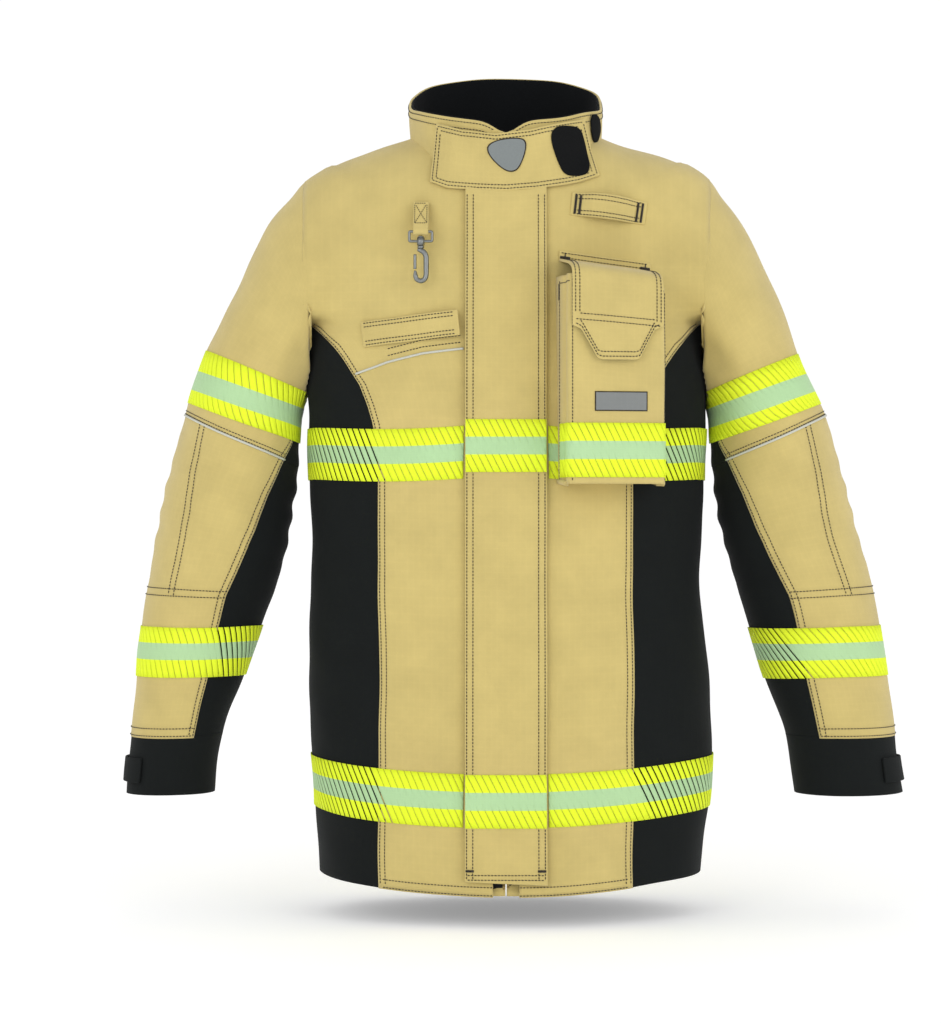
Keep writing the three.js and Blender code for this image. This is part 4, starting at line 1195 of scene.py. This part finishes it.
for name, side in SIDES.items():
    bm = bmesh.new()
    z = np.arange(-0.798, -0.060, TOOTH_PITCH) + (TOOTH_PITCH / 2 if side > 0 else 0)
    p = on_chest(side * 0.0019 + 0 * z, z)
    for spot in p - outward(p, False) * TOOTH_BEHIND:
        bmesh.ops.create_cube(bm, size=1, matrix=Matrix.Translation(spot) @ TOOTH_SIZE)
    teeth = finished(f"zip_teeth_row_{name}", bm, BRASS)
    for polygon in teeth.data.polygons:
        polygon.use_smooth = False
    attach(teeth, "coat_body")
    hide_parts(f"zip_teeth_{name}")


# Radio pocket: a deep box pocket of tan cloth on the wearer's left chest, its sides folded as bellows,
# with a band of trim round its foot and a blank grey label.
POCKET_CORNER, POCKET_TURN = (0.057, -0.124, -0.364), 0.2
POCKET_WIDE, POCKET_HIGH = 0.108, 0.232
POCKET_PLAN = [  # outline from the chest at one side round the front to the chest at the other
    (0.0000, 0.0150), (0.0012, -0.0130), (0.0050, -0.0215), (0.0008, -0.0310), (0.0005, -0.0395),
    (0.0014, -0.0430), (0.0050, -0.0445), (0.0300, -0.0447), (0.0800, -0.0447), (0.1030, -0.0445),
    (0.1066, -0.0430), (0.1075, -0.0395), (0.1072, -0.0310), (0.1030, -0.0215), (0.1068, -0.0130),
    (0.1080, 0.0200),
]


def soften(points, count, passes):
    """A polyline resampled evenly and eased round its corners."""
    points = np.array(points, float)
    length = run_along(points)
    at = np.linspace(0, length[-1], count)
    path = np.stack([np.interp(at, length, points[:, k]) for k in range(points.shape[1])], -1)
    for _ in range(passes):
        path[1:-1] = (path[:-2] + 2 * path[1:-1] + path[2:]) / 4
    return path


PLAN = soften(POCKET_PLAN, 161, 6)
PLAN_RUN = run_along(PLAN)
POCKET_ROUND = PLAN_RUN[-1]


def turned(x, y, z):
    """A direction of the pocket's own in the coat's frame."""
    c, s = np.cos(POCKET_TURN), np.sin(POCKET_TURN)
    return np.stack([x * c - y * s, x * s + y * c, z], -1)


def from_pocket(x, y, z):
    """Points of the turned pocket in the coat's frame."""
    return turned(x, y, z) + POCKET_CORNER


def drawn_along(run, path, at, step):
    """The change of a path's two coordinates around a length along it."""
    return [np.interp(at + step, run, path[:, k]) - np.interp(at - step, run, path[:, k]) for k in (0, 1)]


def on_pocket(along, up, lift=0.0):
    """Points of the pocket's wall: along runs round it from the wearer's right side."""
    along, up, lift = np.broadcast_arrays(along, up, lift)
    x, y = np.interp(along, PLAN_RUN, PLAN[:, 0]), np.interp(along, PLAN_RUN, PLAN[:, 1])
    tx, ty = drawn_along(PLAN_RUN, PLAN, along, 0.0008)
    size = np.maximum(np.hypot(tx, ty), 1e-9)
    nx, ny = ty / size, -tx / size
    across, height = np.clip(x / POCKET_WIDE, 0, 1), np.clip(up / POCKET_HIGH, 0, 1)
    belly = 0.0042 * np.sin(np.pi * across) * np.sin(np.pi * height) ** 0.7
    dent = 0.0010 * np.sin(52 * up + 40 * x) * np.sin(31 * x + 9)
    front = np.clip(-y / 0.044, 0, 1)
    x, y = x + nx * (lift + dent * front), y + ny * (lift + dent * front) - belly * front
    return from_pocket(x, y, up), turned(nx, ny, 0 * nx)


def mouth_at(along):
    """Height of the pocket's mouth: its front edge drops towards the wearer's left."""
    return POCKET_HIGH - 0.008 - 0.014 * smooth((along / POCKET_ROUND - 0.25) / 0.5)


FLOOR_SHARE = 0.12  # the share of the sheet's rows that closes the pocket below


def pocket_place(u, v):
    along = u * POCKET_ROUND
    foot = np.clip((FLOOR_SHARE - v) / FLOOR_SHARE, 0, 1)
    up = np.clip((v - FLOOR_SHARE) / (1 - FLOOR_SHARE), 0, 1) * mouth_at(along)
    p, out = on_pocket(along, up)
    back = from_pocket(np.interp(along, PLAN_RUN, PLAN[:, 0]), 0.018 + 0 * along, up)
    p = p + (back - p) * foot[:, None]
    p[:, 2] += 0.004 * foot
    return p, out + np.array([0, 0, -1.0]) * foot[:, None]


pocket = cloth("radio_pocket_cloth", 160, 84, pocket_place, TAN, thick=0.0026, flat=(0.23, 0.26), edge=False)
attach(pocket, "coat_body")
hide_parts("radio_pocket")


POCKET_BAND_START, POCKET_BAND_Z = 0.020, 0.036
band = trim_band(
    "pocket_band", POCKET_ROUND - 0.045,
    lambda along, up: on_pocket(along + POCKET_BAND_START, POCKET_BAND_Z + up, 0.0014), high=0.0580,
)
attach(band, "coat_body")
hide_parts("pocket_trim")
FACE_START, FACE_WIDE = float(np.interp(0.004, PLAN[40:81, 0], PLAN_RUN[40:81])), 0.104
bm = bmesh.new()
share = np.linspace(0.014, 0.985, 110)
for along in (0.0165, FACE_START + 0.001, FACE_START + 0.1035):
    stitched(bm, *on_pocket(along + 0 * share, share * mouth_at(along), 0.0004))
for drop in (0.004, 0.012):
    along = np.linspace(FACE_START, FACE_START + FACE_WIDE, 60)
    stitched(bm, *on_pocket(along, mouth_at(along) - drop, 0.0004))
along = np.linspace(0.016, FACE_START, 16)
stitched(bm, *on_pocket(along, mouth_at(along) - 0.008, 0.0004))
tack = np.linspace(0.198, 0.216, 18)
stitched(bm, *on_pocket(0.0145 + 0 * tack, tack, 0.0006), TACK_STEP, (0.0016, 0.0024, 0.0012))
stitching = finished("pocket_stitching", bm, THREAD)
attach(stitching, "coat_body")


LABEL = cloth_look("blank_grey_label", srgb(128, 131, 130), uneven=0.03, rough=0.6, bloom=0.05, thread=0.0005)
LABEL_WIDE, LABEL_HIGH = 0.058, 0.021


def label_place(u, v):
    return on_pocket(FACE_START + 0.0245 + LABEL_WIDE * u, 0.0775 + LABEL_HIGH * v, 0.0010)


def label_border(u, v):
    return int(min(u, 1 - u) < 0.02 or min(v, 1 - v) < 0.055)


label = cloth(
    "blank_label", 48, 18, label_place, [LABEL, THREAD], thick=0.0008, flat=(LABEL_WIDE, LABEL_HIGH),
    sides=label_border,
)
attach(label, "coat_body")
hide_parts("pocket_label")


# Pocket flap: a stiff tan flap sewn to the chest above the pocket, over its mouth and down its face to a
# tapered tongue, edged with two rows of stitching and bar-tacked at its top corners.
FLAP_PATH = soften([
    (0.0165, 0.0000), (-0.0300, -0.0060), (-0.0440, -0.0100), (-0.0495, -0.0145), (-0.0512, -0.0225),
    (-0.0515, -0.0370),
], 60, 5)
FLAP_RUN = run_along(FLAP_PATH)
TONGUE = np.array([  # the flap's lower edge on the pocket's face
    (0.003, 0.1690), (0.013, 0.1640), (0.030, 0.1335), (0.035, 0.1320), (0.071, 0.1320), (0.076, 0.1335),
    (0.093, 0.1640), (0.104, 0.1690),
])
FLAP_SIDES = (0.0035, 0.1030)
FLAP_WIDE = FLAP_SIDES[1] - FLAP_SIDES[0]


def flap_seam(x):
    """Height of the seam that holds the flap to the chest."""
    return 0.2440 - 0.115 * (x - FLAP_SIDES[0])


def flap_length(x):
    return FLAP_RUN[-1] + flap_seam(x) + FLAP_PATH[-1, 1] - np.interp(x, *TONGUE.T)


def on_pocket_flap(x, down, lift=0.0):
    """Points of the flap: down is the length from the chest, over the top and down the face."""
    x, down = np.broadcast_arrays(x, down)
    extra = np.maximum(down - FLAP_RUN[-1], 0)
    y = np.interp(down, FLAP_RUN, FLAP_PATH[:, 0]) - 0.02 * extra
    z = flap_seam(x) + np.interp(down, FLAP_RUN, FLAP_PATH[:, 1]) - extra
    on_face = smooth((down - 0.05) / 0.03)
    bow = 0.0022 * np.sin(np.pi * np.clip((x - 0.003) / 0.1, 0, 1)) + 0.0007 * np.sin(70 * x + 30 * z)
    curl = 0.0020 * smooth((down - 0.11) / 0.06)
    ty, tz = drawn_along(FLAP_RUN, FLAP_PATH, down, 0.001)
    tz = np.where(extra > 0, -1.0, tz)
    size = np.maximum(np.hypot(ty, tz), 1e-9)
    ny, nz = tz / size, -ty / size
    y = y + ny * lift - (bow + curl) * on_face
    z = z + nz * lift + 0.6 * bow * (1 - on_face)
    return from_pocket(x, y, z), turned(0 * x, ny, nz)


def pocket_flap_place(u, v):
    x = FLAP_SIDES[0] + FLAP_WIDE * u
    return on_pocket_flap(x, flap_length(x) * v)


def at_pocket_flap(piece):
    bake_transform(piece)


flap = cloth("pocket_flap_cloth", 50, 90, pocket_flap_place, LINED_TAN, thick=0.0030, flat=(0.1, 0.19))
at_pocket_flap(flap)
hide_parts("pocket_flap")
bm = bmesh.new()
t = np.linspace(0, 1, 90)
for inset in (0.0030, 0.0075):
    x = FLAP_SIDES[0] + inset + (FLAP_WIDE - 2 * inset) * t
    level = flap_length(0.003) - 0.002 - 1.4 * inset - 0.04 * (x - 0.003)
    stitched(bm, *on_pocket_flap(x, flap_length(x) - 1.1 * inset, 0.0004))
    stitched(bm, *on_pocket_flap(x, level, 0.0004))
    side_run = np.linspace(0.012, float(flap_length(FLAP_SIDES[1])) - 0.002, 70)
    for edge in (FLAP_SIDES[0] + inset, FLAP_SIDES[1] - inset):
        stitched(bm, *on_pocket_flap(edge + 0 * side_run, side_run, 0.0004))
stitching = finished("pocket_flap_stitching", bm, THREAD)
at_pocket_flap(stitching)


def flap_root(t, up, lift=0.0):
    """Points of the sewn-down edge of the flap, on the chest just above it."""
    p = on_chest(0.057 + 0.099 * t, -0.1165 - 0.0118 * t + up)
    return laid(p, SHELL + 0.0022 + lift), outward(p, False)


root = cloth("pocket_flap_root", 40, 4, lambda u, v: flap_root(u, 0.010 * (v - 0.5)), TAN, flat=(0.1, 0.01))
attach(root, "coat_body")
bm = bmesh.new()
t = np.linspace(0.02, 0.98, 60)
for up in (-0.0020, 0.0030):
    stitched(bm, *flap_root(t, up + 0 * t, 0.0004))
for middle in (0.065, 0.935):
    t = np.linspace(middle - 0.055, middle + 0.055, 14)
    stitched(bm, *flap_root(t, -0.0020 + 0 * t, 0.0006), TACK_STEP, (0.0018, 0.0034, 0.0014))
    t = np.linspace(-0.004, 0.004, 10)
    stitched(bm, *flap_root(middle + 0 * t, t, 0.0006), TACK_STEP, (0.0012, 0.0014, 0.0010))
stitching = finished("pocket_flap_root_stitching", bm, THREAD)
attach(stitching, "coat_body")


# Torch strap and microphone tab: short doubled tan straps. The microphone tab is sewn down at its ends with bar
# tacks and stands off the chest between them so that a clip can pass behind; the torch strap rises towards its
# inner end.
def small_strap(name, start, end, wide, lifts, body, node, tacks):
    """A strap between two points of the chest: lifts are its heights off the form along it."""
    start, end = np.array(start), np.array(end)
    length = float(np.linalg.norm(end - start))
    ahead = (end - start) / length
    across = np.array([-ahead[1], ahead[0]])

    def on_it(along, off, lift=0.0):
        spot = start + np.outer(along, ahead) + np.outer(off, across)
        p = on_chest(spot[:, 0], spot[:, 1])
        rise = np.interp(along, np.linspace(0, length, len(lifts)), lifts)
        rise = rise + 0.0006 * np.sin(90 * along + 60 * off)
        return laid(p, rise + lift), outward(p, False)

    sheet_of = cloth(
        name, 48, 14, lambda u, v: on_it(u * length, (v - 0.5) * wide), TAN, thick=0.0024, flat=(length, wide)
    )
    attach(sheet_of, body)
    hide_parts(node)
    bm = bmesh.new()
    along = np.linspace(0.003, length - 0.003, 60)
    for off in (-wide / 2 + 0.0022, -wide / 2 + 0.0062, wide / 2 - 0.0062, wide / 2 - 0.0022):
        stitched(bm, *on_it(along, off + 0 * along, 0.0004))
    off = np.linspace(-wide / 2 + 0.002, wide / 2 - 0.002, 30)
    for at in tacks:
        stitched(bm, *on_it(at * length + 0 * off, off, 0.0006), TACK_STEP, TACK)
    stitching = finished(f"{name}_stitching", bm, THREAD)
    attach(stitching, body)


small_strap(
    "torch_strap_cloth", (-0.156, -0.201), (-0.050, -0.190), 0.028,
    np.array([3, 3.4, 4, 5, 6.5, 8.5, 10]) / 1000 + 0.0026, "torch_loop", "torch_strap", (),
)
small_strap(
    "microphone_tab_cloth", (0.070, -0.060), (0.151, -0.069), 0.0245,
    np.array([2, 2.5, 9, 12.5, 12.5, 9, 2.5, 2]) / 1000 + 0.0024, "coat_body", "mic_tab",
    (0.06, 0.12, 0.88, 0.94),
)


# Webbing keeper of the snap hook: tan webbing folded round the bar of the hook's eye, its two ends laid
# together on the chest and sewn down with a boxed cross.
KEEPER_MIDDLE = (-0.092, -0.12036, -0.0916)  # of the eye's bar
KEEPER_WIDE = 0.0165
KEEPER_PATH = soften([
    (0.0138, 0.0326), (0.0121, 0.0206), (0.0070, 0.0086), (0.0032, -0.0008), (-0.0008, -0.0038),
    (-0.0030, 0.0006), (0.0018, 0.0106), (0.0060, 0.0216), (0.0076, 0.0326),
], 90, 3)


def keeper_place(u, v):
    at = v * 89
    i = np.arange(90)
    y, z = np.interp(at, i, KEEPER_PATH[:, 0]), np.interp(at, i, KEEPER_PATH[:, 1])
    ty = np.interp(at, i, np.gradient(KEEPER_PATH[:, 0]))
    tz = np.interp(at, i, np.gradient(KEEPER_PATH[:, 1]))
    out = np.stack([0 * y, -tz, ty], -1) / np.hypot(ty, tz)[:, None]
    x = KEEPER_MIDDLE[0] + KEEPER_WIDE * (u - 0.5)
    p = np.stack([x, KEEPER_MIDDLE[1] + y, KEEPER_MIDDLE[2] + z], -1)
    return p + out * -0.0009, -out


keeper = cloth(
    "hook_keeper_webbing", 8, 89, keeper_place, TAN, thick=0.0016, flat=(KEEPER_WIDE, 0.075), edge=False
)
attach(keeper, "coat_body")
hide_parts("hook_webbing")
bm = bmesh.new()
t = np.linspace(0, 1, 24)
NEAR, FAR, LOW, TOP = 0.1, 0.9, 0.70, 0.985  # the box's sides and ends, as shares of the webbing
for u, v, to_u, to_v in (
    (NEAR, LOW, FAR, LOW), (NEAR, TOP, FAR, TOP), (NEAR, LOW, NEAR, TOP), (FAR, LOW, FAR, TOP),
    (NEAR, LOW, FAR, TOP), (FAR, LOW, NEAR, TOP),
):
    path, out = keeper_place(u + (to_u - u) * t, v + (to_v - v) * t)
    path[:, 1] -= 0.0022
    stitched(bm, path, np.tile([0, -1.0, 0.2], (24, 1)), 0.0024, (0.0019, 0.0008, 0.0007))
stitching = finished("keeper_stitching", bm, THREAD)
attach(stitching, "coat_body")


# Snap hook: a plated steel eye on the webbing, a round-bar hook that turns in its barrel, and a sprung
# gate. Each bar is bent to shape, and the barrel is turned from solid.
def hook_path(points, count, passes):
    """A bent bar's middle line, drawn across and down from the middle of the eye's upper bar."""
    line = soften([(x, 0, z) for x, z in points], count, passes)
    return line / 1000 + np.array(KEEPER_MIDDLE)


def barrel(bm, radius, top, bottom):
    """A short cylinder on the hook's axis, in millimetres from the eye's upper bar."""
    middle = Vector(KEEPER_MIDDLE) + Vector((0, 0, (top + bottom) / 2000))
    bmesh.ops.create_cone(
        bm, cap_ends=True, segments=24, radius1=radius / 1000, radius2=radius / 1000,
        depth=(top - bottom) / 1000, matrix=Matrix.Translation(middle),
    )


EYE_LINE = [(0, 0), (-12.3, 0), (-12.3, -10.4), (12.3, -10.4), (12.3, 0), (0.02, 0)]
HOOK_LINE = [
    (-3.5, -19.5), (0, -20.0), (4.0, -22.5), (5.9, -27), (5.9, -47), (4.6, -51.5), (0, -53.7), (-4.6, -51.5),
    (-5.9, -47), (-5.9, -42),
]
GATE_LINE = [(-6.2, -24.6), (-6.2, -40.4)]
FORWARD = (0, -1.0, 0)
bm = bmesh.new()
line = hook_path(EYE_LINE, 90, 2)
roll(bm, line, np.tile(FORWARD, (90, 1)), 0.0015)
barrel(bm, 4.2, -6.8, -14.6)
eye = finished("hook_eye", bm, STEEL)
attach(eye, "eye")
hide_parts("snap_eye")
bm = bmesh.new()
line = hook_path(HOOK_LINE, 80, 6)
girth = np.interp(np.linspace(0, 1, 80), (0, 0.06, 0.3, 0.9, 1), (0.0016, 0.0029, 0.0030, 0.0026, 0.0012))
roll(bm, line, np.tile(FORWARD, (80, 1)), girth, 12)
barrel(bm, 2.2, -4.6, -20.5)
barrel(bm, 3.4, -5.4, -6.6)
barrel(bm, 3.6, -15.2, -18.0)
hook = finished("hook_claw", bm, STEEL)
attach(hook, "hook")
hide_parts("snap_hook")
line = hook_path(GATE_LINE, 12, 0)
bar = rolled("hook_gate_bar", line, np.tile(FORWARD, (12, 1)), 0.0017, STEEL)
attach(bar, "gate")
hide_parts("snap_gate")


# Hanger loop inside the back of the neck, wristlets of ribbed knit inside the cuffs, and black tabs that
# are sewn down on the outside of each cuff.
LOOP_POINTS = [
    (-0.032, 0.0752, 0.028), (-0.023, 0.070, 0.024), (0, 0.066, 0.017), (0.023, 0.070, 0.024),
    (0.032, 0.0752, 0.028),
]
loop_path = soften(LOOP_POINTS, 40, 3)
loop = rolled("hanger_cord", loop_path, np.tile([0, -1.0, 0.3], (40, 1)), 0.0038, TAPE, flatten=0.28)
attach(loop, "coat_body")
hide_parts("hanger_loop")
KNIT = cloth_look(
    "ribbed_knit_wristlet", srgb(34, 36, 38), uneven=0.15, rough=0.95, bloom=0.4, thread=0.0014, relief=0.8
)
WRISTLET_TOP, TAB_TOP, TAB_SPREAD = 11.40, 11.36, np.radians(56)
for name, side in SIDES.items():

    def wrist_place(u, v):
        turn = (2 * u - 1) * np.pi
        p = round_sleeve(WRISTLET_TOP + 0.42 * v, turn, side)
        ribs = 0.0007 * np.sin(90 * turn)
        return p + outward(p, True) * (-0.0065 + ribs)[:, None], outward(p, True)

    knit = cloth(
        f"knit_wristlet_{name}", 360, 8, wrist_place, KNIT, thick=0.0022, flat=(0.33, 0.026), edge=False
    )
    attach(knit, f"{name}_forearm")
    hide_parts(f"wristlet_{name}")

    def tab_place(u, v):
        p = round_sleeve(TAB_TOP + 0.43 * v, TAB_SPREAD * (2 * u - 1), side)
        return laid(p, SHELL + 0.0026 + 0.0008 * np.sin(np.pi * u), True), outward(p, True)

    tab = cloth(f"cuff_tab_cloth_{name}", 50, 12, tab_place, BLACK, thick=0.0022, flat=(0.12, 0.027))
    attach(tab, f"{name}_forearm")
    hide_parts(f"cuff_tab_{name}")
